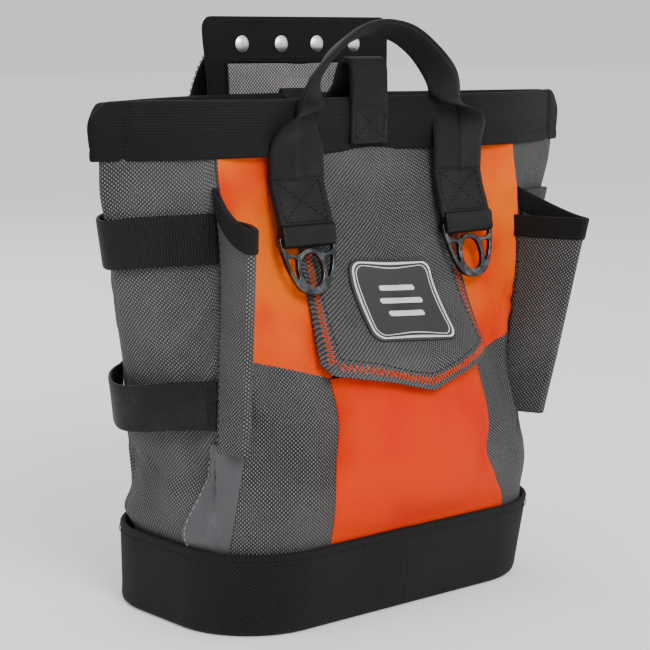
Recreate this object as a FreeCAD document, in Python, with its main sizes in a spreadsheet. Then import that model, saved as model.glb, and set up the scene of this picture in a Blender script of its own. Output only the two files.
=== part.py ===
import FreeCAD, Part

import math
import os

import Sketcher

# Soft electrician's tool bucket: a fabric body that is open at the top, with a stiff base
# cup, a front handle, a belt tunnel behind, tool rings, side holsters and tool loops.
# +Z is up, the front faces -Y, and the origin is the centre of the base on the ground.
# Right-hand pieces are on +X. All sizes are in millimetres.

SIZES = {
    # base cup and the two layers of its floor
    "base_length": 230.0, "base_width": 134.0, "base_corner": 47.0, "base_height": 45.0,
    "base_wall": 3.0, "base_flare": 3.5, "board_thick": 2.5, "lining_thick": 1.2,
    "board_gap": 5.0,
    # the body's fabric
    "fabric": 2.0, "cloth": 1.4, "layer_gap": 0.3,
    # rim sleeve and the spring strip in it
    "rim_low": 246.0, "rim_high": 276.0, "rim_half": 166.0, "rim_end_y": -12.0,
    "rim_thick": 5.0, "rim_seam_x": 107.0, "rim_front_seam": -34.0, "rim_front_middle": -28.0,
    "rim_back_seam": 21.0, "rim_back_middle": 26.5, "rim_lap": 1.5,
    "spring_thick": 0.8, "spring_high": 22.0, "spring_half": 150.0,
    # belt panel, its window and its rivets
    "belt_half": 66.0, "belt_low": 248.0, "belt_high": 318.0, "belt_corner": 12.0,
    "belt_y": 28.6, "belt_thick": 2.2, "window_half": 52.6, "window_low": 277.5,
    "window_high": 292.5, "window_thick": 1.0, "rivet_z": 303.0, "rivet_inner": 12.9,
    "rivet_outer": 40.5, "rivet_head": 4.6, "rivet_shank": 2.0, "rivet_dome": 1.6,
    "loop_thick": 2.0, "loop_gap": 0.2, "loop_depth": 15.0,
    # webbing
    "web_narrow": 25.4, "web_wide": 36.0, "web_thick": 2.4, "strap_thick": 3.0,
    "keeper_wide": 30.0,
    # front handle
    "strap_x": 58.0, "strap_y": -34.5, "hinge_y": -39.1, "seam_z": 236.0, "handle_gap": 0.6,
    "shoulder_z": 252.0, "shoulder_out": 75.5, "shoulder_in": 42.0, "grip_top": 318.0,
    "grip_width": 11.0, "grip_thick": 13.0,
    # tool rings
    "bar_z": 203.5, "bar_y": -46.5, "bar_room": 2.3, "ring_half": 19.0,
    "ring_drop": 29.0, "ring_thick": 2.6, "ring_frame": 3.2, "ring_tilt": 14.0,
    "ring_web_z": 11.0,
    # closure strap
    "strap_run_z": 294.6, "strap_flange": 15.0, "flange_y": 27.4, "tab_y": -33.6,
    "tab_low": 250.0,
    "hook_thick": 1.2,
    # front pocket, flap and patch
    "pocket_low": 51.0, "pocket_high": 131.0, "pocket_half_low": 65.5,
    "pocket_half_high": 57.0, "pocket_bulge": 14.0, "flap_half": 58.0,
    "flap_corner_z": 134.0, "flap_tip_z": 122.0, "patch_half": 31.0, "patch_low": 146.0,
    "patch_high": 188.0, "patch_thick": 1.8,
    # side holsters
    "holster_low": 92.0, "holster_high": 211.0, "tip_low_x": 108.0, "tip_low_y": -60.0,
    "tip_high_x": 119.0, "tip_high_y": -82.5, "binding_high": 12.0,
    # side tool loops
    "tool_low_z": 109.0, "tool_high_z": 194.0, "tool_bulge": 6.0, "tool_lift": 1.1,
    "tool_thick": 1.8,
}

# Plan of the fabric body at six heights. Each row holds the height, the front's middle, the
# corner seam's x, the front seam's y, the side's middle x and y, how full the side's curve
# is, the back seam's y, the back's middle, and how squarely the front and back turn the
# corner: 2 is a parabola, and 8 is nearly flat with a tight corner.
STATIONS = (
    (7.0, -63.0, 106.0, -38.0, 111.0, 0.0, 0.90, 38.0, 63.0, 8.0),
    (45.0, -64.5, 109.0, -38.5, 114.0, 0.0, 0.90, 38.5, 64.5, 8.0),
    (62.0, -69.0, 111.0, -40.0, 117.5, 0.0, 0.90, 39.5, 66.0, 7.0),
    (130.0, -64.0, 110.5, -42.0, 131.0, -1.0, 0.80, 40.0, 57.0, 4.0),
    (200.0, -40.5, 107.5, -40.0, 150.0, -5.0, 0.76, 32.0, 40.0, 2.4),
    (245.8, -28.0, 107.0, -34.0, 163.0, -12.0, 0.60, 21.0, 26.5, 2.0),
)

HEM_Z = STATIONS[2][0]
WAIST_Z = STATIONS[3][0]
CHEST_Z = STATIONS[4][0]

doc = FreeCAD.newDocument("tool_bucket")
sheet = doc.addObject("Spreadsheet::Sheet", "Sizes")
for row, (name, value) in enumerate(SIZES.items(), 1):
    sheet.set("A%d" % row, name)
    sheet.set("B%d" % row, str(value))
    sheet.setAlias("B%d" % row, name)
doc.recompute()

nodes = []


def size(name):
    return float(sheet.get(name))


# ---------------------------------------------------------------- PartDesign helpers

def make_body(label):
    body = doc.addObject("PartDesign::Body", label)
    body.Label = label
    nodes.append(body)
    return body


def make_sketch(body, name, role, offset=None):
    """A sketch on one of the body's origin planes, moved along its normal by offset."""
    sketch = body.newObject("Sketcher::SketchObject", body.Label + "_" + name)
    origin_plane = [f for f in body.Origin.OriginFeatures if f.Role == role][0]
    sketch.AttachmentSupport = [(origin_plane, "")]
    sketch.MapMode = "FlatFace"
    if offset:
        sketch.setExpression("AttachmentOffset.Base.z", offset)
    return sketch


def bind(sketch, constraint, name, expression):
    index = sketch.addConstraint(constraint)
    sketch.renameConstraint(index, name)
    sketch.setExpression("Constraints." + name, expression)


def draw_outline(sketch, corners):
    """Closed outline of straight sides through the corner points, given as expressions."""
    points = [(evaluate(x), evaluate(y)) for x, y in corners]
    count = len(points)
    for i in range(count):
        start = FreeCAD.Vector(points[i][0], points[i][1], 0)
        end = FreeCAD.Vector(points[(i + 1) % count][0], points[(i + 1) % count][1], 0)
        sketch.addGeometry(Part.LineSegment(start, end), False)
    for i in range(count):
        sketch.addConstraint(Sketcher.Constraint("Coincident", i, 2, (i + 1) % count, 1))
    for i, (x, y) in enumerate(corners):
        bind(sketch, Sketcher.Constraint("DistanceX", -1, 1, i, 1, points[i][0]), "x%d" % i, x)
        bind(sketch, Sketcher.Constraint("DistanceY", -1, 1, i, 1, points[i][1]), "y%d" % i, y)


def evaluate(expression):
    return float(sheet.evalExpression(expression.replace("Sizes.", "")))


def draw_rectangle(sketch, half, low, high):
    left = "-(" + half + ")"
    draw_outline(sketch, ((left, low), (half, low), (half, high), (left, high)))


def draw_circle(sketch, name, x, y, radius):
    centre = FreeCAD.Vector(evaluate(x), evaluate(y), 0)
    circle = sketch.addGeometry(
        Part.Circle(centre, FreeCAD.Vector(0, 0, 1), evaluate(radius)), False)
    bind(sketch, Sketcher.Constraint("Radius", circle, evaluate(radius)), name + "_r", radius)
    bind(sketch, Sketcher.Constraint("DistanceX", -1, 1, circle, 3, centre.x), name + "_x", x)
    bind(sketch, Sketcher.Constraint("DistanceY", -1, 1, circle, 3, centre.y), name + "_y", y)


def draw_rounded(sketch, half_x, half_y, radius):
    """Rounded rectangle about the sketch's origin."""
    a, b, r = evaluate(half_x), evaluate(half_y), evaluate(radius)
    up = FreeCAD.Vector(0, 0, 1)
    sides = ((-a + r, -b, a - r, -b), (a, -b + r, a, b - r), (a - r, b, -a + r, b),
             (-a, b - r, -a, -b + r))
    centres = ((a - r, -b + r), (a - r, b - r), (-a + r, b - r), (-a + r, -b + r))
    for i in range(4):
        x0, y0, x1, y1 = sides[i]
        sketch.addGeometry(Part.LineSegment(FreeCAD.Vector(x0, y0, 0),
                                            FreeCAD.Vector(x1, y1, 0)), False)
        circle = Part.Circle(FreeCAD.Vector(centres[i][0], centres[i][1], 0), up, r)
        start = (i - 1) * math.pi / 2
        sketch.addGeometry(Part.ArcOfCircle(circle, start, start + math.pi / 2), False)
    for i in range(8):
        sketch.addConstraint(Sketcher.Constraint("Tangent", i, 2, (i + 1) % 8, 1))
    for i in (1, 3, 5):
        sketch.addConstraint(Sketcher.Constraint("Equal", i, i + 2))
    sketch.addConstraint(Sketcher.Constraint("Horizontal", 4))
    sketch.addConstraint(Sketcher.Constraint("Vertical", 6))
    sketch.addConstraint(Sketcher.Constraint("Symmetric", 0, 1, 0, 2, -2))
    sketch.addConstraint(Sketcher.Constraint("Symmetric", 2, 1, 2, 2, -1))
    bind(sketch, Sketcher.Constraint("Radius", 1, r), "corner", radius)
    bind(sketch, Sketcher.Constraint("DistanceX", -1, 1, 2, 1, a), "half_x", half_x)
    bind(sketch, Sketcher.Constraint("DistanceY", -1, 1, 4, 1, b), "half_y", half_y)


def add_pad(body, sketch, length, midplane=False, reverse=False):
    pad = body.newObject("PartDesign::Pad", sketch.Label + "_pad")
    pad.Profile = sketch
    pad.setExpression("Length", length)
    pad.Midplane = midplane
    pad.Reversed = reverse
    sketch.Visibility = False
    return pad


def add_pocket(body, sketch, length, reverse=False, midplane=False):
    """Cut the sketch out of the body, and make sure that material went away."""
    doc.recompute()
    before = body.Shape.Volume
    pocket = body.newObject("PartDesign::Pocket", sketch.Label + "_cut")
    pocket.Profile = sketch
    pocket.setExpression("Length", length)
    pocket.Midplane = midplane
    pocket.Reversed = reverse
    doc.recompute()
    if body.Shape.Volume > before - 1e-3:
        raise RuntimeError(pocket.Label + " cuts nothing")
    return pocket


def place(body, x="0", y="0", z="0"):
    for axis, expression in (("x", x), ("y", y), ("z", z)):
        body.setExpression("Placement.Base." + axis, expression)


# ---------------------------------------------------------------- fabric shell helpers

STATION_NAMES = ("z", "front", "seam_x", "front_seam", "side_x", "side_y", "full", "back_seam",
                 "back", "power")


def nearest_stations(z):
    """The stations below and above height z, and how far z is from one to the other."""
    z = min(max(z, STATIONS[0][0]), STATIONS[-1][0])
    for low, high in zip(STATIONS, STATIONS[1:]):
        if z <= high[0]:
            break
    return low, high, (z - low[0]) / (high[0] - low[0])


def station(z):
    """The body's plan at height z, between the two nearest stations."""
    low, high, share = nearest_stations(z)
    values = [a + (b - a) * share for a, b in zip(low, high)]
    return dict(zip(STATION_NAMES, values))


def skin_y(x, z, middle, seam):
    """The front or back skin's y, on straight lines between the stations' curves."""
    low, high, share = nearest_stations(z)
    turn = min(1.0, abs(x) / station(z)["seam_x"])
    ends = []
    for row in (low, high):
        plan = dict(zip(STATION_NAMES, row))
        ends.append(plan[middle] + (plan[seam] - plan[middle]) * turn ** plan["power"])
    return ends[0] + (ends[1] - ends[0]) * share


def front_y(x, z, out=0.0):
    """The front skin's y, moved forward by out."""
    return skin_y(x, z, "front", "front_seam") - out


def back_y(x, z, out=0.0):
    """The back skin's y, moved backward by out."""
    return skin_y(x, z, "back", "back_seam") + out


def side_points(z, out=0.0, bulge=0.0):
    """Right side from the front seam to the back seam, moved outward by out."""
    plan = station(z)
    corner = plan["seam_x"]
    reach = plan["side_x"] - corner
    front = plan["front_seam"]
    back = plan["back_seam"]
    middle = plan["side_y"]
    full = corner + reach * plan["full"]
    slant = 0.7
    return [
        (corner + out * slant, front - out * slant),
        (full + (out + bulge) * 0.9, (front + middle) / 2 - (out + bulge) * 0.35),
        (plan["side_x"] + out + bulge, middle),
        (full + (out + bulge) * 0.9, (back + middle) / 2 + (out + bulge) * 0.35),
        (corner + out * slant, back + out * slant),
    ]


def side_x(y, z, out):
    """The side skin's x at y on its front half, moved outward by out."""
    line = spline(side_points(z, out), z).discretize(60)
    for near, far in zip(line, line[1:]):
        if near.y <= y <= far.y:
            share = (y - near.y) / (far.y - near.y)
            return near.x + (far.x - near.x) * share
    return line[0].x


def spline(points, z):
    curve = Part.BSplineCurve()
    curve.interpolate([FreeCAD.Vector(x, y, z) for x, y in points])
    return curve.toShape()


def strip_wire(outer, inner, z):
    """Closed plan section between an outer and an inner curve that run the same way."""
    first = Part.makeLine((outer[-1][0], outer[-1][1], z), (inner[-1][0], inner[-1][1], z))
    last = Part.makeLine((inner[0][0], inner[0][1], z), (outer[0][0], outer[0][1], z))
    return Part.Wire([spline(outer, z), first, spline(inner[::-1], z), last])


def loft(wires):
    solid = Part.makeLoft(wires, True, True)
    if solid.Volume < 0:
        solid.reverse()
    return solid


def mirrored(shape):
    return shape.mirror(FreeCAD.Vector(0, 0, 0), FreeCAD.Vector(1, 0, 0))


def add_shape(label, shape):
    feature = doc.addObject("Part::Feature", label)
    feature.Label = label
    feature.Shape = shape
    nodes.append(feature)
    return feature


def add_pair(name, shape):
    """The shape is the right-hand piece, and its mirror image the left-hand one."""
    add_shape(name + "_right", shape)
    add_shape(name + "_left", mirrored(shape))


def across(half):
    """Places across the front or back, closer together near the corners."""
    shares = (0.0, 0.4, 0.66, 0.82, 0.92, 1.0)
    return [-half * share for share in shares[:0:-1]] + [half * share for share in shares]


def between(low, high, count=9):
    return [low + (high - low) * i / (count - 1) for i in range(count)]


# ---------------------------------------------------------------- base

def build_base():
    cup = make_body("base_cup")
    outline = make_sketch(cup, "outline", "XY_Plane")
    draw_rounded(outline, "Sizes.base_length / 2", "Sizes.base_width / 2", "Sizes.base_corner")
    pad = add_pad(cup, outline, "Sizes.base_height")
    pad.TaperAngle = math.degrees(math.atan(size("base_flare") / size("base_height")))
    inside = make_sketch(cup, "inside", "XY_Plane", "Sizes.base_wall")
    draw_rounded(inside, "Sizes.base_length / 2 - Sizes.base_wall",
                 "Sizes.base_width / 2 - Sizes.base_wall",
                 "Sizes.base_corner - Sizes.base_wall")
    cut = add_pocket(cup, inside, "Sizes.base_height", reverse=True)
    cut.TaperAngle = pad.TaperAngle

    board = make_body("base_board")
    plate = make_sketch(board, "plate", "XY_Plane", "Sizes.base_wall + 0.01")
    draw_rounded(plate, "Sizes.base_length / 2 - Sizes.base_wall - Sizes.board_gap",
                 "Sizes.base_width / 2 - Sizes.base_wall - Sizes.board_gap",
                 "Sizes.base_corner - Sizes.base_wall - Sizes.board_gap")
    add_pad(board, plate, "Sizes.board_thick")

    lining = make_body("base_lining")
    floor = make_sketch(lining, "floor", "XY_Plane", "Sizes.base_wall + Sizes.board_thick + 0.02")
    draw_rounded(floor, "Sizes.base_length / 2 - Sizes.base_wall - Sizes.board_gap",
                 "Sizes.base_width / 2 - Sizes.base_wall - Sizes.board_gap",
                 "Sizes.base_corner - Sizes.base_wall - Sizes.board_gap")
    add_pad(lining, floor, "Sizes.lining_thick")


# ---------------------------------------------------------------- body panels

def build_panels():
    fabric = size("fabric")
    front = []
    back = []
    side = []
    for row in STATIONS:
        z = row[0]
        xs = across(station(z)["seam_x"] - 0.1)
        front.append(strip_wire([(x, front_y(x, z)) for x in xs],
                                [(x, front_y(x, z, -fabric)) for x in xs], z))
        back.append(strip_wire([(x, back_y(x, z)) for x in xs],
                               [(x, back_y(x, z, -fabric)) for x in xs], z))
        outer = side_points(z)
        inner = side_points(z, -fabric)
        inner[0] = (outer[0][0], outer[0][1] + fabric)
        inner[-1] = (outer[-1][0], outer[-1][1] - fabric)
        side.append(strip_wire(outer, inner, z))
    add_shape("front_panel", loft(front))
    add_shape("back_panel", loft(back))
    add_pair("side_panel", loft(side))


def front_layer(levels, low_x, high_x, inner_out, outer_out):
    """A piece laid on the front. The four functions give its x range and its skins at z."""
    wires = []
    for z in levels:
        xs = between(low_x(z), high_x(z))
        wires.append(strip_wire([(x, front_y(x, z, outer_out(x, z))) for x in xs],
                                [(x, front_y(x, z, inner_out(x, z))) for x in xs], z))
    return loft(wires)


def build_front_layers():
    gap = size("layer_gap")
    cloth = size("cloth")
    flap_half = size("flap_half")
    corner_z = size("flap_corner_z")
    tip_z = size("flap_tip_z")
    base_top = size("base_height") + 1.0
    rim_low = size("rim_low") - 0.3
    pocket_low = size("pocket_low")
    pocket_high = size("pocket_high")

    def pocket_half(z):
        share = (z - pocket_low) / (pocket_high - pocket_low)
        wide = size("pocket_half_low")
        return wide + (size("pocket_half_high") - wide) * share

    def swell(x, z):
        share = (z - pocket_low) / (pocket_high - pocket_low)
        rise = 0.45 + 0.55 * math.sin(min(1.0, share * 1.3) * math.pi / 2)
        return size("pocket_bulge") * rise * (1 - (abs(x) / pocket_half(z)) ** 2.6)

    add_pair("yoke", front_layer(
        (corner_z + 1, CHEST_Z, rim_low), lambda z: flap_half + 1,
        lambda z: station(z)["seam_x"] - 1, lambda x, z: gap, lambda x, z: gap + cloth))
    add_pair("pocket_side", front_layer(
        (base_top, HEM_Z, WAIST_Z, corner_z), lambda z: pocket_half(z) + 1,
        lambda z: station(z)["seam_x"] - 1, lambda x, z: gap, lambda x, z: gap + cloth))

    levels = (pocket_low, HEM_Z, 78, 100, WAIST_Z, pocket_high)
    pouch = front_layer(levels, lambda z: -pocket_half(z), pocket_half,
                        lambda x, z: gap, lambda x, z: gap + 2 * cloth + swell(x, z))
    room = front_layer((pocket_low + cloth, HEM_Z, 78, 100, WAIST_Z, pocket_high + 1),
                       lambda z: -pocket_half(z) + 4, lambda z: pocket_half(z) - 4,
                       lambda x, z: gap + 0.6, lambda x, z: gap + cloth + swell(x, z))
    add_shape("front_pocket", pouch.cut(room))

    def flap_width(z):
        if z >= corner_z:
            return flap_half
        return 6 + (flap_half - 6) * (z - tip_z) / (corner_z - tip_z)

    def flap_lift(x, z):
        share = min(1.0, max(0.0, (178 - z) / (178 - corner_z)))
        full = size("pocket_bulge") + 2 * cloth
        return full * share ** 1.5 * (1 - (abs(x) / (flap_half + 2)) ** 2.6) + 2.6 * share

    add_shape("center_flap", front_layer(
        (tip_z, WAIST_Z, corner_z, 145, 160, 178, CHEST_Z, rim_low),
        lambda z: -flap_width(z), flap_width,
        lambda x, z: gap + flap_lift(x, z), lambda x, z: gap + cloth + flap_lift(x, z)))
    half = size("patch_half")
    add_shape("label_patch", front_layer(
        (size("patch_low"), 160, 178, size("patch_high")), lambda z: -half, lambda z: half,
        lambda x, z: 2 * gap + cloth + flap_lift(x, z),
        lambda x, z: 2 * gap + cloth + size("patch_thick") + flap_lift(x, z)))


def build_corner_strips():
    """Smooth strips that cover the front corner seams between the cup and the holsters."""
    wires = []
    for z, half in ((size("base_height") + 1.0, 16.0), (HEM_Z, 13.5),
                    (size("holster_low") - 1.0, 9.0)):
        plan = station(z)
        corner = plan["seam_x"]
        front = plan["front_seam"]
        skins = []
        for out in (3.4, 2.2):
            skins.append([
                (corner - 0.66 * half + 0.5 * out, front_y(corner - 0.66 * half, z, 0.87 * out)),
                (corner - 0.32 * half + 0.7 * out, front_y(corner - 0.32 * half, z, 0.7 * out)),
                (corner + 1.1 * out, front - 0.5 * out),
                (side_x(front + 0.35 * half, z, 1.25 * out), front + 0.35 * half),
                (side_x(front + 0.9 * half, z, 1.1 * out), front + 0.9 * half)])
        corners = [FreeCAD.Vector(x, y, z) for x, y in skins[0] + skins[1][::-1]]
        wires.append(Part.makePolygon(corners + corners[:1]))
    add_pair("corner_strip", loft(wires))


# ---------------------------------------------------------------- rim

def rim_outline(front, grow):
    """The rim's plan: five points from left to right, moved inward by grow."""
    half = size("rim_half") - grow * 2.2
    seam = size("rim_seam_x")
    name, sign = ("rim_front", 1) if front else ("rim_back", -1)
    end = size("rim_end_y") - 0.1 * sign
    corner_y = size(name + "_seam") + grow * sign
    middle_y = size(name + "_middle") + grow * sign
    return [(-half, end), (-seam, corner_y), (0, middle_y), (seam, corner_y), (half, end)]


def build_rim():
    thick = size("rim_thick")
    high = size("rim_high") - size("rim_low")
    spring_low = (size("rim_low") + size("rim_high") - size("spring_high")) / 2
    for name, front in (("front", True), ("back", False)):
        z = size("rim_low")
        lap = size("rim_lap")
        wire = strip_wire(rim_outline(front, -lap), rim_outline(front, thick - lap), z)
        band = Part.Face(wire).extrude(FreeCAD.Vector(0, 0, high))
        inset = thick / 2 - lap
        outer = rim_outline(front, inset - size("spring_thick") / 2)
        inner = rim_outline(front, inset + size("spring_thick") / 2)
        reach = size("spring_half")
        outer[0] = (-reach, outer[0][1] + (outer[1][1] - outer[0][1]) * 0.3)
        outer[-1] = (reach, outer[0][1])
        step = inner[1][1] - outer[1][1]
        inner = [(x, y + step) for x, y in outer]
        strip = strip_wire(outer, inner, spring_low)
        spring = Part.Face(strip).extrude(FreeCAD.Vector(0, 0, size("spring_high")))
        add_shape("rim_band_" + name, band)
        add_shape("rim_spring_" + name, spring)


# ---------------------------------------------------------------- belt panel and tunnel

def rivet_places():
    inner, outer = "Sizes.rivet_inner", "Sizes.rivet_outer"
    return ("-" + outer, "-" + inner, inner, outer)


def build_belt_panel():
    panel = make_body("belt_panel")
    face = make_sketch(panel, "face", "XZ_Plane")
    draw_outline(face, (
        ("-Sizes.belt_half", "Sizes.belt_low"), ("Sizes.belt_half", "Sizes.belt_low"),
        ("Sizes.belt_half", "Sizes.belt_high - Sizes.belt_corner"),
        ("Sizes.belt_half - Sizes.belt_corner", "Sizes.belt_high"),
        ("Sizes.belt_corner - Sizes.belt_half", "Sizes.belt_high"),
        ("-Sizes.belt_half", "Sizes.belt_high - Sizes.belt_corner")))
    add_pad(panel, face, "Sizes.belt_thick", reverse=True)
    holes = make_sketch(panel, "holes", "XZ_Plane")
    for i, x in enumerate(rivet_places()):
        draw_circle(holes, "hole%d" % i, x, "Sizes.rivet_z", "Sizes.rivet_shank")
    add_pocket(panel, holes, "Sizes.belt_thick * 3", midplane=True)
    place(panel, y="Sizes.belt_y")

    window = make_body("belt_window")
    pane = make_sketch(window, "pane", "XZ_Plane")
    draw_rectangle(pane, "Sizes.window_half", "Sizes.window_low", "Sizes.window_high")
    add_pad(window, pane, "Sizes.window_thick")
    place(window, y="Sizes.belt_y - 0.1")


def build_belt_loop():
    """Back layer: sewn behind the belt panel's top, standing off behind, sewn on lower down."""
    thick = size("loop_thick")
    top = size("belt_high")
    near = size("belt_y") + size("belt_thick") + size("loop_gap")
    far = near + size("loop_depth")
    outer = ((near + thick, top), (near + thick, 297), (far, 266), (far + 5, 220), (60.5, 165),
             (66.5, 112))
    inner = [(y - thick, z) for y, z in outer]
    half = size("belt_half") - 4
    corners = [FreeCAD.Vector(-half, y, z) for y, z in list(outer) + inner[::-1]]
    profile = Part.Face(Part.makePolygon(corners + corners[:1]))
    layer = profile.extrude(FreeCAD.Vector(2 * half, 0, 0))
    shank = size("rivet_shank")
    for x in rivet_places():
        start = FreeCAD.Vector(evaluate(x), near - 2, size("rivet_z"))
        layer = layer.cut(Part.makeCylinder(shank, thick + 4, start, FreeCAD.Vector(0, 1, 0)))
    add_shape("belt_loop", layer)


def build_rivets():
    """Domed caps in front, shanks through both layers, and plain burrs behind."""
    head = size("rivet_head")
    dome = size("rivet_dome")
    front = size("belt_y") - 0.05
    back = (size("belt_y") + size("belt_thick") + size("loop_gap") + size("loop_thick")) + 0.05
    backward = FreeCAD.Vector(0, 1, 0)
    radius = (head ** 2 + dome ** 2) / (2 * dome)
    solids = []
    for x in rivet_places():
        at = FreeCAD.Vector(evaluate(x), front, size("rivet_z"))
        ball = Part.makeSphere(radius, at + FreeCAD.Vector(0, radius - dome, 0))
        slab = Part.makeCylinder(head, dome + 1, at - FreeCAD.Vector(0, dome + 1, 0), backward)
        shank = Part.makeCylinder(size("rivet_shank") - 0.05, back - front + 0.2,
                                  at - FreeCAD.Vector(0, 0.1, 0), backward)
        burr = Part.makeCylinder(head, 1.0, at + FreeCAD.Vector(0, back - front, 0), backward)
        solids.append(ball.common(slab).fuse(shank).fuse(burr))
    add_shape("rivets", Part.makeCompound(solids))


# ---------------------------------------------------------------- handle and tool rings

def mirrored_pairs(outline):
    """Outline points on the right, from the bottom up, followed by their mirror images."""
    left = [("-(" + x + ")", z) for x, z in outline[::-1] if x != "0"]
    return list(outline) + left


def build_strap_ends():
    """Flat sewn ends of the handle, and the narrower folds that hold the rings' bars."""
    for name, sign in (("left", "-"), ("right", "")):
        end = make_body("strap_end_" + name)
        profile = make_sketch(end, "profile", "YZ_Plane")
        draw_outline(profile, (
            ("Sizes.strap_y", "Sizes.seam_z"), ("Sizes.strap_y - 3.1", "Sizes.seam_z"),
            ("Sizes.strap_y - 11.8", "Sizes.bar_z + 5.5"),
            ("Sizes.strap_y - 7.2", "Sizes.bar_z + 5.5")))
        add_pad(end, profile, "Sizes.web_wide", midplane=True)
        place(end, x=sign + "Sizes.strap_x", y="-0.5")

        keeper = make_body("ring_keeper_" + name)
        fold = make_sketch(keeper, "fold", "YZ_Plane")
        draw_outline(fold, (
            ("-4.1", "5.2"), ("-4.1", "-2.4"), ("-2.2", "-4.3"), ("2.2", "-4.3"),
            ("3.6", "-2.4"), ("3.6", "5.2")))
        add_pad(keeper, fold, "Sizes.keeper_wide", midplane=True)
        eye = make_sketch(keeper, "eye", "YZ_Plane")
        draw_circle(eye, "eye", "0", "0", "Sizes.bar_room")
        add_pocket(keeper, eye, "Sizes.keeper_wide * 2", midplane=True)
        place(keeper, x=sign + "Sizes.strap_x", y="Sizes.bar_y", z="Sizes.bar_z")


def build_rings():
    """Flat cast D-rings, hung by their top bars and tilted forward by the bag's bulge."""
    for name, sign in (("left", "-"), ("right", "")):
        ring = make_body("tool_ring_" + name)
        frame = make_sketch(ring, "frame", "XZ_Plane")
        draw_outline(frame, mirrored_pairs((
            ("Sizes.ring_half * 0.32", "-Sizes.ring_drop"),
            ("Sizes.ring_half * 0.7", "-Sizes.ring_drop * 0.86"),
            ("Sizes.ring_half", "-Sizes.ring_drop * 0.45"),
            ("Sizes.ring_half", "1.5"))))
        add_pad(ring, frame, "Sizes.ring_thick", midplane=True)
        slot = make_sketch(ring, "slot", "XZ_Plane")
        draw_rectangle(slot, "(Sizes.ring_half - Sizes.ring_frame)", "-Sizes.ring_web_z + 1.6",
                       "-1.5")
        add_pocket(ring, slot, "Sizes.ring_thick * 2", midplane=True)
        hole = make_sketch(ring, "hole", "XZ_Plane")
        draw_outline(hole, mirrored_pairs((
            ("Sizes.ring_half * 0.26", "-Sizes.ring_drop + Sizes.ring_frame"),
            ("Sizes.ring_half * 0.56", "-Sizes.ring_drop * 0.76"),
            ("Sizes.ring_half * 0.62", "-Sizes.ring_drop * 0.56"),
            ("Sizes.ring_half * 0.5", "-Sizes.ring_web_z - 1.6"))))
        add_pocket(ring, hole, "Sizes.ring_thick * 2", midplane=True)
        ring.Placement.Rotation = FreeCAD.Rotation(FreeCAD.Vector(1, 0, 0), -size("ring_tilt"))
        place(ring, x=sign + "Sizes.strap_x", y="Sizes.bar_y", z="Sizes.bar_z")


# Right half of the handle's arch, as (x, z): its outer edge going up, its inner edge down.
ARCH_OUTER = (
    ("Sizes.shoulder_out", "Sizes.shoulder_z"), ("62", "Sizes.grip_top - 42"),
    ("50", "Sizes.grip_top - 26"), ("34", "Sizes.grip_top - 11.5"), ("15", "Sizes.grip_top"))
ARCH_INNER = (
    ("9", "Sizes.grip_top - Sizes.grip_width"), ("25", "Sizes.grip_top - 21"),
    ("38", "Sizes.grip_top - 33"), ("45", "Sizes.grip_top - 46"),
    ("Sizes.shoulder_in", "Sizes.shoulder_z + 4"))


def build_handle():
    """One webbing arch, flat at its two ends and folded to a thicker grip on top."""
    handle = make_body("handle")
    arch = make_sketch(handle, "arch", "XZ_Plane")
    seam = "Sizes.seam_z + Sizes.handle_gap"
    outer = [("Sizes.strap_x + Sizes.web_wide / 2", seam)] + list(ARCH_OUTER)
    inner = list(ARCH_INNER) + [("Sizes.strap_x - Sizes.web_wide / 2", seam)]
    left_inner = [("-(" + x + ")", z) for x, z in inner[::-1]]
    left_outer = [("-(" + x + ")", z) for x, z in outer[::-1]]
    draw_outline(arch, outer + left_outer + left_inner + inner)
    add_pad(handle, arch, "Sizes.strap_thick", reverse=True)
    grip = make_sketch(handle, "grip", "XZ_Plane", "Sizes.strap_thick / -2")
    top = list(ARCH_OUTER[2:])
    under = list(ARCH_INNER[:3])
    left_top = [("-(" + x + ")", z) for x, z in top[::-1]]
    left_under = [("-(" + x + ")", z) for x, z in under[::-1]]
    draw_outline(grip, top + left_top + left_under + under)
    add_pad(handle, grip, "Sizes.grip_thick", midplane=True)
    place(handle, y="Sizes.hinge_y")


# ---------------------------------------------------------------- closure strap

def build_closure():
    half_web = "Sizes.web_thick / 2"
    strap = make_body("closure_strap")
    run = make_sketch(strap, "run", "YZ_Plane")
    draw_outline(run, (
        ("Sizes.flange_y", "Sizes.strap_run_z + " + half_web),
        ("Sizes.flange_y", "Sizes.strap_run_z - Sizes.strap_flange"),
        ("Sizes.flange_y - Sizes.web_thick", "Sizes.strap_run_z - Sizes.strap_flange"),
        ("Sizes.flange_y - Sizes.web_thick", "Sizes.strap_run_z - " + half_web),
        ("Sizes.tab_y + Sizes.web_thick + 0.2", "Sizes.strap_run_z - " + half_web),
        ("Sizes.tab_y + Sizes.web_thick + 0.2", "Sizes.strap_run_z + " + half_web)))
    add_pad(strap, run, "Sizes.web_narrow", midplane=True)

    tab = make_body("closure_tab")
    face = make_sketch(tab, "face", "XZ_Plane")
    draw_rectangle(face, "Sizes.web_narrow / 2", "Sizes.tab_low",
                   "Sizes.strap_run_z + " + half_web)
    add_pad(tab, face, "Sizes.web_thick", reverse=True)
    place(tab, y="Sizes.tab_y")

    patch = make_body("hook_patch")
    square = make_sketch(patch, "square", "XZ_Plane")
    draw_rectangle(square, "Sizes.web_narrow / 2 - 1", "Sizes.tab_low + 2", "Sizes.tab_low + 24")
    add_pad(patch, square, "Sizes.hook_thick", reverse=True)
    place(patch, y="Sizes.tab_y + Sizes.web_thick + 0.2")


# ---------------------------------------------------------------- holsters and tool loops

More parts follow.
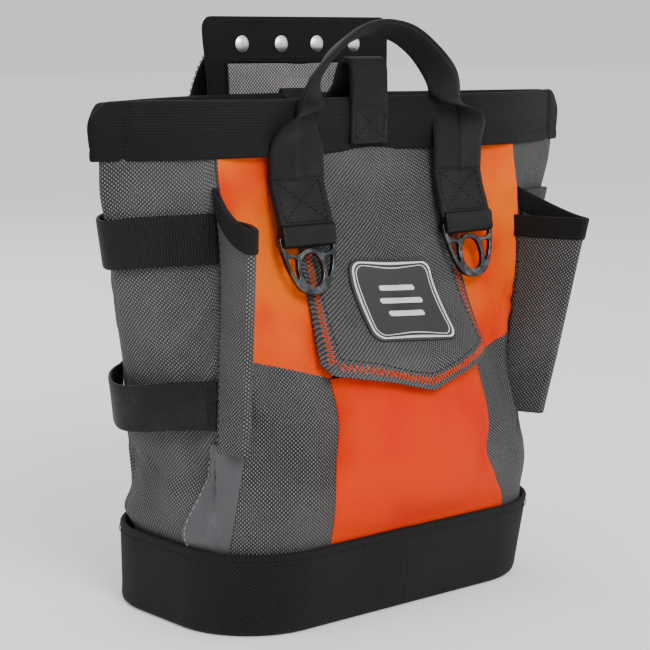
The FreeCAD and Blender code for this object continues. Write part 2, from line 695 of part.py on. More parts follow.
def holster_section(z, wall):
    """Plan of the right-hand holster at height z, moved inward by wall."""
    plan = station(z)
    corner = plan["seam_x"]
    front = plan["front_seam"]
    share = (z - size("holster_low")) / (size("holster_high") - size("holster_low"))
    tip_x = size("tip_low_x") + (size("tip_high_x") - size("tip_low_x")) * share
    tip_y = size("tip_low_y") + (size("tip_high_y") - size("tip_low_y")) * share
    tip_half = 2.2 - wall
    points = (
        (corner - 4.5 + 0.5 * wall, front_y(corner - 4.5, z, 2.8) - wall),
        (corner - 9 + 1.6 * wall, front_y(corner - 9, z, 2.2) - wall),
        (tip_x - tip_half, tip_y + 3 * wall),
        (tip_x + tip_half, tip_y + 3 * wall),
        (corner + 7 - wall, front - 1.2 - wall),
        (corner, front - 2.4 - wall),
    )
    corners = [FreeCAD.Vector(x, y, z) for x, y in points]
    return Part.makePolygon(corners + corners[:1])


def build_holsters():
    low = size("holster_low")
    high = size("holster_high")
    sewn = high - size("binding_high")
    wall = size("cloth")
    room = loft([holster_section(z, wall) for z in (low + 22, WAIST_Z, sewn, high + 1)])
    pouch = loft([holster_section(z, 0) for z in (low, WAIST_Z, sewn - 0.05)])
    binding = loft([holster_section(z, -0.3) for z in (sewn, high)])
    add_pair("holster", pouch.cut(room))
    add_pair("holster_binding", binding.cut(room))


def loop_points(z, out, bulge):
    """A side loop's skin: from behind the holster round to the back seam."""
    points = side_points(z, out, bulge)
    front, shoulder = points[0], points[1]
    back, heel = points[-1], points[-2]
    points[0] = (front[0] + (shoulder[0] - front[0]) * 0.3,
                 front[1] + (shoulder[1] - front[1]) * 0.3)
    points[-1] = (back[0] + (heel[0] - back[0]) * 0.1, back[1] + (heel[1] - back[1]) * 0.1)
    return points


def build_tool_loops():
    lift = size("tool_lift")
    for name, low in (("upper", size("tool_high_z")), ("lower", size("tool_low_z"))):
        top = low + size("web_narrow")
        wires = []
        bend = WAIST_Z if low < WAIST_Z < top else CHEST_Z
        for z in (low, bend, top):
            skins = []
            for out in (lift + size("tool_thick"), lift):
                skin = loop_points(z, out, size("tool_bulge"))
                straight = loop_points(top, out, size("tool_bulge"))
                skins.append([skin[0]] + [(upper[0], point[1]) for point, upper
                                          in zip(skin[1:-1], straight[1:-1])] + [skin[-1]])
            wires.append(strip_wire(skins[0], skins[1], z))
        add_pair("tool_loop_" + name, loft(wires))


# ---------------------------------------------------------------- build, check, write

build_base()
build_panels()
build_front_layers()
build_corner_strips()
build_rim()
build_belt_panel()
build_belt_loop()
build_rivets()
build_strap_ends()
build_rings()
build_handle()
build_closure()
build_holsters()
build_tool_loops()
doc.recompute()

for item in doc.Objects:
    if "Invalid" in item.State or "Error" in item.State:
        raise RuntimeError(item.Label + " is not valid: " + str(item.State))
for node in nodes:
    if node.Shape.isNull() or not node.Shape.isValid() or not node.Shape.Solids:
        raise RuntimeError(node.Label + " has no valid solid")

os.makedirs("parts", exist_ok=True)
for node in nodes:
    node.Shape.exportStep("parts/" + node.Label + ".step")
    print(node.Label, round(node.Shape.Volume), len(node.Shape.Solids))
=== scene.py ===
import math

import bpy
import numpy as np
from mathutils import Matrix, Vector


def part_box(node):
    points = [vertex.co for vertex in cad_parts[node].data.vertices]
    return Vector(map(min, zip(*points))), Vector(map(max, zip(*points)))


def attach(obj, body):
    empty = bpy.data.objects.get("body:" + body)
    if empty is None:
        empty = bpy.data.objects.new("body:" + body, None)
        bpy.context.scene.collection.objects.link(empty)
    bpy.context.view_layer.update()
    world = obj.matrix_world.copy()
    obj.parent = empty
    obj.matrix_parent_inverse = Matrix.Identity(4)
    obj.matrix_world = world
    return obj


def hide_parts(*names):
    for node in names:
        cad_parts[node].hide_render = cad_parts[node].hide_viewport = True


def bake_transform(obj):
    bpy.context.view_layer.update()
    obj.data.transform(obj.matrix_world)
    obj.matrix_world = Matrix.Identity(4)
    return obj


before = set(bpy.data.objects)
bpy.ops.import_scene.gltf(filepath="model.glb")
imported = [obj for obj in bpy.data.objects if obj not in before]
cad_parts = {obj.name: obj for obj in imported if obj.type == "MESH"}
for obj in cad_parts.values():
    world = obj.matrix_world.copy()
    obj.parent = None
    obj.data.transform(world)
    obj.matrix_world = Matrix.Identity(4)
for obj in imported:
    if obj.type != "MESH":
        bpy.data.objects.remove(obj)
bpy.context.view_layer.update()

MM = 0.001


def low(node, axis):
    """Lower end of a CAD node along an axis, in millimetres, as all lengths here are."""
    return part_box(node)[0][axis] / MM


def high(node, axis):
    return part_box(node)[1][axis] / MM


CUP_TOP = high("base_cup", 2)
RIM_LOW = low("rim_band_front", 2)
RIM_HIGH = high("rim_band_front", 2)
BELT_HALF = high("belt_panel", 0) + 1.0
BELT_TOP = high("belt_panel", 2)
BELT_Y = low("belt_panel", 1)
STRAP_X = (low("strap_end_right", 0) + high("strap_end_right", 0)) / 2
HINGE_Y = (low("handle", 1) + high("handle", 1)) / 2 - 1.5
FLAP_HALF = high("center_flap", 0)
FLAP_TIP = low("center_flap", 2) - 4.5
POCKET_LOW = low("front_pocket", 2)


# ------------------------------------------------------------------ numbers and surfaces

def smooth(x):
    x = np.clip(x, 0.0, 1.0)
    return x * x * (3 - 2 * x)


def bump(x, centre, width):
    return np.exp(-((x - centre) / width) ** 2)


def noise(x, y, scale, seed):
    """Smooth repeatable noise from sums of sines, about -1 to 1."""
    rng = np.random.RandomState(seed)
    total = np.zeros(np.broadcast(x, y).shape)
    weight = 0.0
    for octave in range(3):
        for _ in range(4):
            angle = rng.uniform(0, 2 * math.pi)
            phase = rng.uniform(0, 2 * math.pi)
            k = 2 ** octave / scale * rng.uniform(0.7, 1.3)
            share = 0.55 ** octave
            total = total + share * np.sin(k * (x * math.cos(angle) + y * math.sin(angle)) + phase)
            weight += share
    return total * 2 / weight


def curve_through(xs, ys, x):
    """Smooth curve through given stations (Catmull-Rom tangents)."""
    xs, ys, x = np.asarray(xs, float), np.asarray(ys, float), np.asarray(x, float)
    slopes = np.gradient(ys, xs)
    i = np.clip(np.searchsorted(xs, x, side="right") - 1, 0, len(xs) - 2)
    width = xs[i + 1] - xs[i]
    s = np.clip((x - xs[i]) / width, -0.2, 1.2)
    s2, s3 = s * s, s * s * s
    return ((2 * s3 - 3 * s2 + 1) * ys[i] + (s3 - 2 * s2 + s) * width * slopes[i]
            + (3 * s2 - 2 * s3) * ys[i + 1] + (s3 - s2) * width * slopes[i + 1])


def catmull(a, b, c, d, s):
    """Catmull-Rom curve from b to c, at s from 0 to 1."""
    return 0.5 * (2 * b + (c - a) * s + (2 * a - 5 * b + 4 * c - d) * s ** 2
                  + (3 * b - a - 3 * c + d) * s ** 3)


# Plan of the body at seven heights, in millimetres. Each row holds the height, the y of the
# front's middle, the x of the corner seams, the y of the front seams, the x and y of the side's
# middle, how full the side's curve is, the y of the back seams, the y of the back's middle, and
# how squarely the front and back turn the corner.
STATIONS = np.array((
    (7.0, -63.0, 106.0, -38.0, 111.0, 0.0, 0.90, 38.0, 63.0, 8.0),
    (45.0, -64.5, 109.0, -38.5, 114.0, 0.0, 0.90, 38.5, 64.5, 8.0),
    (62.0, -69.0, 111.0, -40.0, 117.5, 0.0, 0.90, 39.5, 66.0, 7.0),
    (130.0, -64.0, 110.5, -42.0, 131.0, -1.0, 0.80, 40.0, 57.0, 4.0),
    (200.0, -40.5, 107.5, -40.0, 150.0, -5.0, 0.76, 32.0, 40.0, 2.4),
    (245.8, -28.0, 107.0, -34.0, 162.0, -12.0, 0.60, 21.0, 26.5, 2.0),
    (276.0, -27.5, 107.0, -33.5, 162.5, -12.0, 0.56, 20.5, 26.0, 2.0),
)).T


def plan(z):
    """The nine numbers of a station, at height z."""
    return [curve_through(STATIONS[0], row, z) for row in STATIONS[1:]]


def across_share(t):
    """Place across the front or back, -1 to 1, with the grid's columns closer by the corners."""
    s = 2 * np.asarray(t, float) - 1
    return 0.45 * s + 0.55 * np.sin(s * math.pi / 2)


def body_rest(u, z):
    """Point on the unwrinkled body. u: front 0 to 1, right 1 to 2, back 2 to 3, left 3 to 4."""
    u, z = np.broadcast_arrays(np.asarray(u, float), np.asarray(z, float))
    front, seam_x, front_seam, side_x, side_y, full, back_seam, back, power = plan(z)
    part = np.floor(u).astype(int) % 4
    t = u - np.floor(u)
    s = across_share(t)
    turn = np.abs(s) ** power
    x = np.where(part == 0, s * seam_x, np.where(part == 2, -s * seam_x, 0.0))
    y = np.where(part == 0, front + (front_seam - front) * turn,
                 back + (back_seam - back) * turn)
    for which, sign in ((1, 1.0), (3, -1.0)):
        along = t if which == 1 else 1 - t
        shoulder = seam_x + (side_x - seam_x) * full
        knots_x = [seam_x, shoulder, side_x, shoulder, seam_x]
        knots_y = [front_seam, (front_seam + side_y) / 2, side_y, (back_seam + side_y) / 2,
                   back_seam]
        x = np.where(part == which, sign * spread(knots_x, along), x)
        y = np.where(part == which, spread(knots_y, along), y)
    return np.stack([x, y, z], -1)


def spread(knots, t):
    """Catmull-Rom through five evenly spaced knots, each an array."""
    k = np.stack(knots)
    first = 2 * k[0] - k[1]
    last = 2 * k[-1] - k[-2]
    k = np.concatenate([first[None], k, last[None]])
    n = len(knots) - 1
    i = np.clip((t * n).astype(int), 0, n - 1)
    s = t * n - i
    return catmull(*(np.take_along_axis(k, (i + j)[None], 0)[0] for j in range(4)), s)


class Surface:
    """A grid of points, sampled smoothly by (u, v) in 0..1."""

    def __init__(self, points, closed=False):
        self.closed = closed
        p = np.asarray(points, float)
        if closed:
            p = np.concatenate([p[:, -1:], p, p[:, :2]], 1)
        else:
            p = np.concatenate([2 * p[:, :1] - p[:, 1:2], p, 2 * p[:, -1:] - p[:, -2:-1]], 1)
        self.p = np.concatenate([2 * p[:1] - p[1:2], p, 2 * p[-1:] - p[-2:-1]], 0)
        self.rows = len(points) - 1
        self.cols = len(points[0]) - (0 if closed else 1)

    def at(self, u, v):
        u, v = np.broadcast_arrays(np.asarray(u, float), np.asarray(v, float))
        x = (u % 1.0 if self.closed else np.clip(u, 0, 1)) * self.cols
        y = np.clip(v, 0, 1) * self.rows
        i = np.clip(x.astype(int), 0, self.cols - 1)
        j = np.clip(y.astype(int), 0, self.rows - 1)
        wx, wy = weights(x - i), weights(y - j)
        total = 0.0
        for a in range(4):
            for b in range(4):
                total = total + (wy[a] * wx[b])[..., None] * self.p[j + a, i + b]
        return total

    def normal(self, u, v, step=0.004):
        du = self.at(u + step, v) - self.at(u - step, v)
        dv = self.at(u, v + step) - self.at(u, v - step)
        return unit(np.cross(du, dv))


def weights(s):
    return (0.5 * (-s + 2 * s ** 2 - s ** 3), 0.5 * (2 - 5 * s ** 2 + 3 * s ** 3),
            0.5 * (s + 4 * s ** 2 - 3 * s ** 3), 0.5 * (-s ** 2 + s ** 3))


def unit(v):
    return v / np.maximum(np.linalg.norm(v, axis=-1, keepdims=True), 1e-12)


def stops(length, step, rim=1.2):
    """Positions 0 to 1 along a length, with extra ones near both ends for a rounded edge."""
    ends = np.array([0.0, 0.12, 0.4, 1.0]) * rim
    inner = np.linspace(rim, length - rim, max(3, int(round((length - 2 * rim) / step)) + 1))
    return np.concatenate([ends[:-1], inner, (length - ends[:-1])[::-1]]) / length


def edge_share(positions, length, rim=1.2):
    """0.35 at an edge, rising round to 1 a little way in."""
    near = np.minimum(positions, 1 - positions) * length
    s = np.clip(near / rim, 0, 1)
    return 0.3 + 0.7 * np.sqrt(1 - (1 - s) ** 2)


# ------------------------------------------------------------------ mesh building

def add_object(name, data):
    obj = bpy.data.objects.new(name, data)
    bpy.context.scene.collection.objects.link(obj)
    return obj


def mesh_object(name, verts, faces, uvs=None):
    """Mesh in metres from points in millimetres. uvs holds one (u, v) in metres per vertex."""
    mesh = bpy.data.meshes.new(name)
    mesh.from_pydata((np.asarray(verts) * MM).tolist(), [], faces)
    if uvs is not None:
        layer = mesh.uv_layers.new(name="Weave")
        index = np.zeros(len(mesh.loops), int)
        mesh.loops.foreach_get("vertex_index", index)
        layer.data.foreach_set("uv", np.asarray(uvs, np.float32)[index].ravel())
    mesh.shade_smooth()
    mesh.update()
    return add_object(name, mesh)


def grid_faces(rows, cols, offset=0, closed=False, flip=False):
    faces = []
    last = cols if closed else cols - 1
    for j in range(rows - 1):
        for i in range(last):
            a = offset + j * cols + i
            b = offset + j * cols + (i + 1) % cols
            quad = (a, b, b + cols, a + cols)
            faces.append(quad[::-1] if flip else quad)
    return faces


def arc_uv(points):
    """(u, v) in metres from the arc lengths along a grid's rows and columns."""
    p = np.asarray(points) * MM
    du = np.linalg.norm(np.diff(p, axis=1), axis=2)
    dv = np.linalg.norm(np.diff(p, axis=0), axis=2)
    u = np.concatenate([np.zeros((len(p), 1)), np.cumsum(du, 1)], 1)
    v = np.concatenate([np.zeros((1, p.shape[1])), np.cumsum(dv, 0)], 0)
    u = u - u.mean(1, keepdims=True)
    return np.stack([u, v], -1)


def sheet_mesh(name, points, thick):
    """Closed sheet with half its thickness to each side of a grid of points. thick is one number
    or one per grid point, so edges can be rounded."""
    p = np.asarray(points, float)
    rows, cols = p.shape[:2]
    normals = grid_normals(p)
    t = np.broadcast_to(np.asarray(thick, float), (rows, cols))[..., None] / 2
    outer = p + normals * t
    inner = p - normals * t
    verts = np.concatenate([outer.reshape(-1, 3), inner.reshape(-1, 3)])
    count = rows * cols
    faces = grid_faces(rows, cols) + grid_faces(rows, cols, count, flip=True)
    border = ([(0, i) for i in range(cols)] + [(j, cols - 1) for j in range(1, rows)]
              + [(rows - 1, i) for i in range(cols - 2, -1, -1)]
              + [(j, 0) for j in range(rows - 2, 0, -1)])
    ids = [j * cols + i for j, i in border]
    for a, b in zip(ids, ids[1:] + ids[:1]):
        faces.append((b, a, a + count, b + count))
    uv = arc_uv(p).reshape(-1, 2)
    return mesh_object(name, verts, faces, np.concatenate([uv, uv]))


def patch(surface, name, u_of, v_of, thick, lift, step):
    """A sheet that lies on a surface. u_of(s, t) and v_of(s, t) give its place; lift moves it
    out along the surface's normal, as one number or a function of (u, v)."""
    width = measure(surface, u_of, v_of, along_s=True)
    height = measure(surface, u_of, v_of, along_s=False)
    s, t = stops(width, step), stops(height, step)
    share = edge_share(t, height)[:, None] * edge_share(s, width)[None]
    ss, tt = np.meshgrid(s, t)
    u, v = u_of(ss, tt), v_of(ss, tt)
    normal = surface.normal(u, v)
    height_off = lift(u, v) if callable(lift) else lift
    points = surface.at(u, v) + normal * np.asarray(height_off)[..., None]
    return sheet_mesh(name, points, thick * share)


def measure(surface, u_of, v_of, along_s):
    """Length of a patch across its middle."""
    t = np.linspace(0, 1, 40)
    half = np.full_like(t, 0.5)
    u, v = (u_of(t, half), v_of(t, half)) if along_s else (u_of(half, t), v_of(half, t))
    return float(np.linalg.norm(np.diff(surface.at(u, v), axis=0), axis=1).sum())


def grid_normals(points):
    du = np.gradient(points, axis=1)
    dv = np.gradient(points, axis=0)
    return unit(np.cross(du, dv))


# ------------------------------------------------------------------ the body's fabric

COLUMNS = 168
ROWS = 66
SKIN_LOW = 30.0
SKIN_HIGH = 262.0


def skin_z(v):
    return SKIN_LOW + (SKIN_HIGH - SKIN_LOW) * v


def soft_shape(points, u, z):
    """Slack: hollows between the seams, folds by the base, and pulls at the straps."""
    outward = unit(points * np.array([1.0, 1.6, 0.0]))
    free = smooth((z - 48) / 26) * smooth((244 - z) / 24)
    t = u - np.floor(u)
    part = np.floor(u) % 4
    side, left, front = np.isin(part, (1, 3)), part == 3, part == 0
    from_front = np.where(left, 1 - t, t)
    seam = np.minimum(t, 1 - t) * 42
    between = np.sin(math.pi * t) ** 2
    # the sides fold inward at the rim, and sag and rumple below it
    crease = side * bump(t, 0.5, 0.09) * smooth((z - 120) / 90) * smooth((248 - z) / 24) * 2.4
    sag = between * bump(z, 92.0, 34.0) * 2.4
    rumple = noise(u * 150.0, z * 0.8, 34.0, 11) * (2.0 + 2.2 * side)
    folds = noise(u * 150.0 + z * 0.55, z * 0.25, 13.0, 5) * bump(z, 78.0, 44.0) * 1.7
    pulls = noise(u * 60.0 - z * 0.8, z * 0.7 + u * 90.0, 10.0, 13) * bump(z, 172.0, 44.0) * side
    # hollows under the left loops, folds beside the pocket, and a waist above the cup
    tuck = left * (bump(from_front, 0.40, 0.16) * bump(z, 72.0, 16.0) * 4.0
                   - bump(from_front, 0.16, 0.12) * bump(z, 160.0, 30.0) * 5.0
                   - bump(from_front, 0.22, 0.10) * bump(z, 104.0, 14.0) * 3.0)
    dent = front * (bump(t, 0.15, 0.06) * bump(z, 88.0, 26.0) * -3.0
                    + bump(t, 0.24, 0.04) * bump(z + 160 * (t - 0.24), 78.0, 30.0) * 2.6)
    waist = left * (bump(z, 54.0, 9.0) * 5.0 - bump(z, 82.0, 13.0) * 4.0)
    slack = free * (sag + rumple + folds + 1.2 * pulls + tuck + dent)
    slack = slack * (1 - 0.5 * np.exp(-(seam / 2.5) ** 2)) + crease + waist
    points = points + outward * slack[..., None]
    pull = corner_pull(z) * np.exp(-((u - 1.0) / 0.3) ** 2)
    return points + np.stack([-pull, 0.25 * pull, 0 * pull], -1)


def corner_pull(z):
    """How far the right front corner is drawn in between the holster and the cup."""
    return 14.0 * bump(z, 116.0, 52.0)


CLOTH_FRAMES = 22
CLOTH_STIFFNESS = 22.0
CLOTH_DAMPING = 15
CLOTH_SHRINK = -0.022      # negative, so the fabric has a little too much of itself
CLOTH_CAP = 2.6            # the farthest a point may move


def simulate_cloth(obj, pins):
    """Blender cloth on obj, pinned by weight. Returns the relaxed points in millimetres."""
    group = obj.vertex_groups.new(name="pin")
    for weight in sorted(set(np.round(pins, 2))):
        if weight > 0:
            ids = np.nonzero(np.round(pins, 2) == weight)[0].tolist()
            group.add(ids, float(weight), "REPLACE")
    cloth = obj.modifiers.new("cloth", "CLOTH")
    settings = cloth.settings
    settings.quality = 6
    settings.mass = 0.25
    settings.tension_stiffness = CLOTH_STIFFNESS
    settings.compression_stiffness = CLOTH_STIFFNESS
    settings.shear_stiffness = CLOTH_STIFFNESS * 0.5
    settings.bending_stiffness = 1.2
    settings.tension_damping = CLOTH_DAMPING
    settings.compression_damping = CLOTH_DAMPING
    settings.air_damping = 3
    settings.vertex_group_mass = "pin"
    settings.pin_stiffness = 1.0
    settings.shrink_min = CLOTH_SHRINK
    settings.effector_weights.gravity = 0.35
    cloth.collision_settings.use_collision = False
    cloth.collision_settings.use_self_collision = False
    scene = bpy.context.scene
    for frame_number in range(1, CLOTH_FRAMES + 1):
        scene.frame_set(frame_number)
    depsgraph = bpy.context.evaluated_depsgraph_get()
    mesh = obj.evaluated_get(depsgraph).to_mesh()
    after = np.array([v.co for v in mesh.vertices]) / MM
    obj.evaluated_get(depsgraph).to_mesh_clear()
    before = np.array([v.co for v in obj.data.vertices]) / MM
    scene.frame_set(1)
    bpy.data.objects.remove(obj)
    move = after - before
    length = np.linalg.norm(move, axis=1, keepdims=True)
    return before + move * np.minimum(1.0, CLOTH_CAP / np.maximum(length, 1e-9))


def skin_grid():
    return np.meshgrid(np.linspace(0, 4, COLUMNS, endpoint=False),
                       skin_z(np.linspace(0, 1, ROWS)))


def build_skin():
    """The body's wrinkled surface, as a closed grid round the bag."""
    uu, z = skin_grid()
    points = soft_shape(body_rest(uu, z), uu, z)
    obj = mesh_object("skin_sim", points.reshape(-1, 3), grid_faces(ROWS, COLUMNS, closed=True))
    t = uu - np.floor(uu)
    seam = np.minimum(t, 1 - t) * 42
    pins = np.maximum.reduce([
        np.where(z < 48, 1.0, 0.0), np.where(z > 243, 1.0, 0.0),
        0.6 * np.exp(-(seam / 1.2) ** 2),
        0.35 * smooth((56 - z) / 8), 0.35 * smooth((z - 236) / 8)])
    relaxed = simulate_cloth(obj, pins.ravel())
    share = (smooth((z - 66) / 26) * smooth((236 - z) / 24))[..., None]
    return Surface(points + (relaxed.reshape(ROWS, COLUMNS, 3) - points) * share, closed=True)


def rest_surface():
    """The body's surface without its wrinkles."""
    return Surface(body_rest(*skin_grid()), closed=True)


def ring_u(u):
    """Body u (0 to 4) as the closed surface's u (0 to 1)."""
    return np.asarray(u, float) / 4.0


def skin_v(z):
    return (np.asarray(z, float) - SKIN_LOW) / (SKIN_HIGH - SKIN_LOW)


def rising(low_z, high_z):
    """v_of(s, t) for a patch that runs straight up from low_z to high_z."""
    return lambda s, t: skin_v(low_z + (high_z - low_z) * t)


def seam_x(z):
    return curve_through(STATIONS[0], STATIONS[2], z)


SHARE_T = np.linspace(0, 1, 401)


def front_u(x, z):
    """Closed-surface u of a point on the front that is x across at height z."""
    return ring_u(np.interp(np.asarray(x, float) / seam_x(z), across_share(SHARE_T), SHARE_T))


# ------------------------------------------------------------------ materials

class Paint:
    """A Principled material, with short calls for the nodes that feed it."""

    def __init__(self, name, roughness, metallic=0.0, specular=0.5):
        self.material = bpy.data.materials.new(name)
        self.material.use_nodes = True
        self.tree = self.material.node_tree
        self.shader = self.tree.nodes["Principled BSDF"]
        self.shader.inputs["Roughness"].default_value = roughness
        self.shader.inputs["Metallic"].default_value = metallic
        self.shader.inputs["Specular IOR Level"].default_value = specular

    def node(self, kind, **values):
        node = self.tree.nodes.new(kind)
        for key, value in values.items():
            setattr(node, key, value)
        return node

    def link(self, source, target):
        self.tree.links.new(source, target)

    def math(self, operation, a, b=0.0, c=0.5, clamp=False):
        node = self.node("ShaderNodeMath", operation=operation, use_clamp=clamp)
        for socket, value in zip(node.inputs, (a, b, c)):
            if isinstance(value, (int, float)):
                socket.default_value = value
            else:
                self.link(value, socket)
        return node.outputs[0]

    def weave_uv(self):
        uv = self.node("ShaderNodeUVMap", uv_map="Weave")
        split = self.node("ShaderNodeSeparateXYZ")
        self.link(uv.outputs[0], split.inputs[0])
        return split.outputs[0], split.outputs[1]

    def place_noise(self, scale, detail=3.0, rough=0.55):
        """Noise fixed to the object, about 0 to 1."""
        where = self.node("ShaderNodeTexCoord")
        noise_node = self.node("ShaderNodeTexNoise")
        noise_node.inputs["Scale"].default_value = scale
        noise_node.inputs["Detail"].default_value = detail
        noise_node.inputs["Roughness"].default_value = rough
        self.link(where.outputs["Object"], noise_node.inputs["Vector"])
        return noise_node.outputs[0]

    def mix(self, share, low, high):
        node = self.node("ShaderNodeMix", data_type="RGBA")
        self.link(share, node.inputs["Factor"])
        for key, value in (("A", low), ("B", high)):
            socket = [s for s in node.inputs if s.name == key and s.type == "RGBA"][0]
            if isinstance(value, tuple):
                socket.default_value = (*value, 1.0)
            else:
                self.link(value, socket)
        return [s for s in node.outputs if s.type == "RGBA"][0]

    def ramp(self, value, low, high):
        """value from low..high onto 0..1, clamped."""
        node = self.node("ShaderNodeMapRange", interpolation_type="SMOOTHSTEP")
        node.inputs["From Min"].default_value = low
        node.inputs["From Max"].default_value = high
        self.link(value, node.inputs["Value"])
        return node.outputs[0]

    def color(self, socket):
        self.link(socket, self.shader.inputs["Base Color"])

    def bump(self, height, distance, strength=1.0):
        node = self.node("ShaderNodeBump")
        node.inputs["Strength"].default_value = strength
        node.inputs["Distance"].default_value = distance
        self.link(height, node.inputs["Height"])
        self.link(node.outputs[0], self.shader.inputs["Normal"])


def wave(paint, x, turns):
    """|sin| of x, with one hump in every 1 / turns metres."""
    return paint.math("ABSOLUTE", paint.math("SINE", paint.math("MULTIPLY", x, math.pi * turns)))


def basket(paint, cell):
    """Basket weave of square cells. Gives (is the weft on top, yarn height), both 0 to 1."""
    u, v = paint.weave_uv()
    x = paint.math("DIVIDE", u, cell)
    y = paint.math("DIVIDE", v, cell)
    odd = paint.math("ADD", paint.math("FLOOR", x), paint.math("FLOOR", y))
    weft = paint.math("PINGPONG", odd, 1.0)
    across = wave(paint, x, 2.0)
    along = wave(paint, y, 2.0)
    arch_x = wave(paint, x, 1.0)
    arch_y = wave(paint, y, 1.0)
    weft_height = paint.math("MULTIPLY", along, arch_x)
    warp_height = paint.math("MULTIPLY", across, arch_y)
    keep = paint.math("SUBTRACT", 1.0, weft)
    height = paint.math("ADD", paint.math("MULTIPLY", weft, weft_height),
                        paint.math("MULTIPLY", keep, warp_height))
    return weft, height


def ballistic(name, dark, light, cell, roughness=0.7):
    """Coarse basket-woven nylon with painted light: weft and warp are painted as catching the
    light unevenly, with highlights on the yarn crowns.
    """
    paint = Paint(name, roughness, specular=0.16)
    weft, height = basket(paint, cell)
    # painted light: lit weft cells, shaded warp cells, painted highlights on the yarn crowns and
    # painted shade in the gaps
    shade = paint.math("MULTIPLY_ADD", weft, 0.88, 0.12)
    weave_light = paint.math("MULTIPLY", paint.math("POWER", height, 1.7), shade)
    mottled = paint.math("MULTIPLY_ADD", paint.place_noise(900.0, 1.0), 0.9, 0.5)
    weave_light = paint.math("MULTIPLY", weave_light, mottled, clamp=True)
    cloth = paint.mix(weave_light, dark, light)
    worn = paint.ramp(paint.place_noise(14.0, 4.0), 0.35, 0.8)
    faded = tuple(c * 0.8 for c in light)
    dull = paint.math("MULTIPLY", worn, 0.14)
    paint.color(paint.mix(dull, cloth, faded))
    paint.shader.inputs["Sheen Weight"].default_value = 0.02
    paint.shader.inputs["Sheen Roughness"].default_value = 0.4
    paint.bump(height, 0.00028)
    return paint.material


def plain_cloth(name, deep, body, bright, cell):
    """Fine plain weave in a strong dye with painted light: the dye's tone drifts in random patches
    and is painted lighter and more amber towards the top, with painted shade in the gaps between
    the yarns.
    """
    paint = Paint(name, 0.6, specular=0.05)
    _, height = basket(paint, cell)
    where = paint.node("ShaderNodeTexCoord")
    height_on_bag = paint.node("ShaderNodeSeparateXYZ")
    paint.link(where.outputs["Object"], height_on_bag.inputs[0])
    # painted light: higher up the bag the orange is painted lighter and more amber, as if lit
    upper = paint.ramp(height_on_bag.outputs[2], 0.11, 0.19)
    patchy = paint.ramp(paint.place_noise(20.0, 2.0), 0.25, 0.6)
    patches_and_lit_top = paint.math("MULTIPLY", patchy, paint.math("ADD", paint.math("MULTIPLY", upper, 0.78),
                                                      0.22), clamp=True)
    dyed_and_lit = paint.mix(patches_and_lit_top, body, bright)
    # painted shade in the gaps between the yarns
    gaps = paint.math("SUBTRACT", 1.0, height)
    shade = paint.math("MULTIPLY", gaps, 0.35)
    paint.color(paint.mix(shade, dyed_and_lit, deep))
    paint.bump(height, 0.0002)
    return paint.material


def webbing(name, dark, light, rib, roughness=0.55):
    """Woven strap: ribs along it, each broken up by the picks of the weave, with fuzz and painted
    highlights on the raised yarns.
    """
    paint = Paint(name, roughness, specular=0.14)
    u, v = paint.weave_uv()
    ribs = wave(paint, u, 1.0 / rib)
    slant = paint.math("ADD", v, paint.math("MULTIPLY", paint.math(
        "PINGPONG", paint.math("DIVIDE", u, rib), 1.0), rib * 0.5))
    picks = wave(paint, slant, 0.7 / rib)
    height = paint.math("MULTIPLY", ribs,
                        paint.math("ADD", paint.math("MULTIPLY", picks, 0.5), 0.5))
    # painted highlight on the raised yarns, broken up by fine fuzz
    fuzz_and_rib_highlight = paint.math("MULTIPLY", paint.place_noise(1300.0, 1.0), height, clamp=True)
    cloth = paint.mix(fuzz_and_rib_highlight, dark, light)
    rubbed = paint.math("MULTIPLY", paint.ramp(paint.place_noise(26.0, 4.0), 0.45, 0.85), 0.35)
    faded = tuple(c * 1.6 + 0.012 for c in light)
    paint.color(paint.mix(rubbed, cloth, faded))
    paint.shader.inputs["Sheen Weight"].default_value = 0.03
    paint.bump(height, 0.0003)
    return paint.material


def coated(name, dark, light, specular=0.3):
    """Smooth coated fabric with a faint grain and scuffs."""
    paint = Paint(name, 0.42, specular=specular)
    grain = paint.place_noise(700.0, 2.0)
    scuffs = paint.ramp(paint.place_noise(45.0, 5.0, 0.7), 0.5, 0.75)
    paint.color(paint.mix(paint.math("MULTIPLY", scuffs, 0.6), dark, light))
    paint.link(paint.math("ADD", paint.math("MULTIPLY", scuffs, 0.2), 0.38),
               paint.shader.inputs["Roughness"])
    paint.bump(grain, 0.00008)
    return paint.material


def cast_metal(name, dark, light, roughness):
    """Plated cast metal: satin, with rubbed spots and a fine pitted skin."""
    paint = Paint(name, roughness, metallic=1.0)
    rubbed = paint.ramp(paint.place_noise(130.0, 4.0, 0.65), 0.42, 0.7)
    paint.color(paint.mix(rubbed, dark, light))
    paint.link(paint.math("ADD", paint.math("MULTIPLY", rubbed, -0.12), roughness),
               paint.shader.inputs["Roughness"])
    paint.bump(paint.place_noise(1500.0, 2.0), 0.00005, 0.6)
    return paint.material


def thread(name, dark, light):
    """Twisted sewing thread."""
    paint = Paint(name, 0.6, specular=0.15)
    twist = paint.place_noise(2500.0, 1.0)
    paint.color(paint.mix(twist, dark, light))
    paint.bump(twist, 0.00005)
    return paint.material


def moulded(name, dark, light, roughness=0.5):
    """Moulded rubber or plastic with a fine texture."""
    paint = Paint(name, roughness)
    paint.color(paint.mix(paint.place_noise(60.0, 4.0), dark, light))
    paint.bump(paint.place_noise(1800.0, 2.0), 0.00005)
    return paint.material


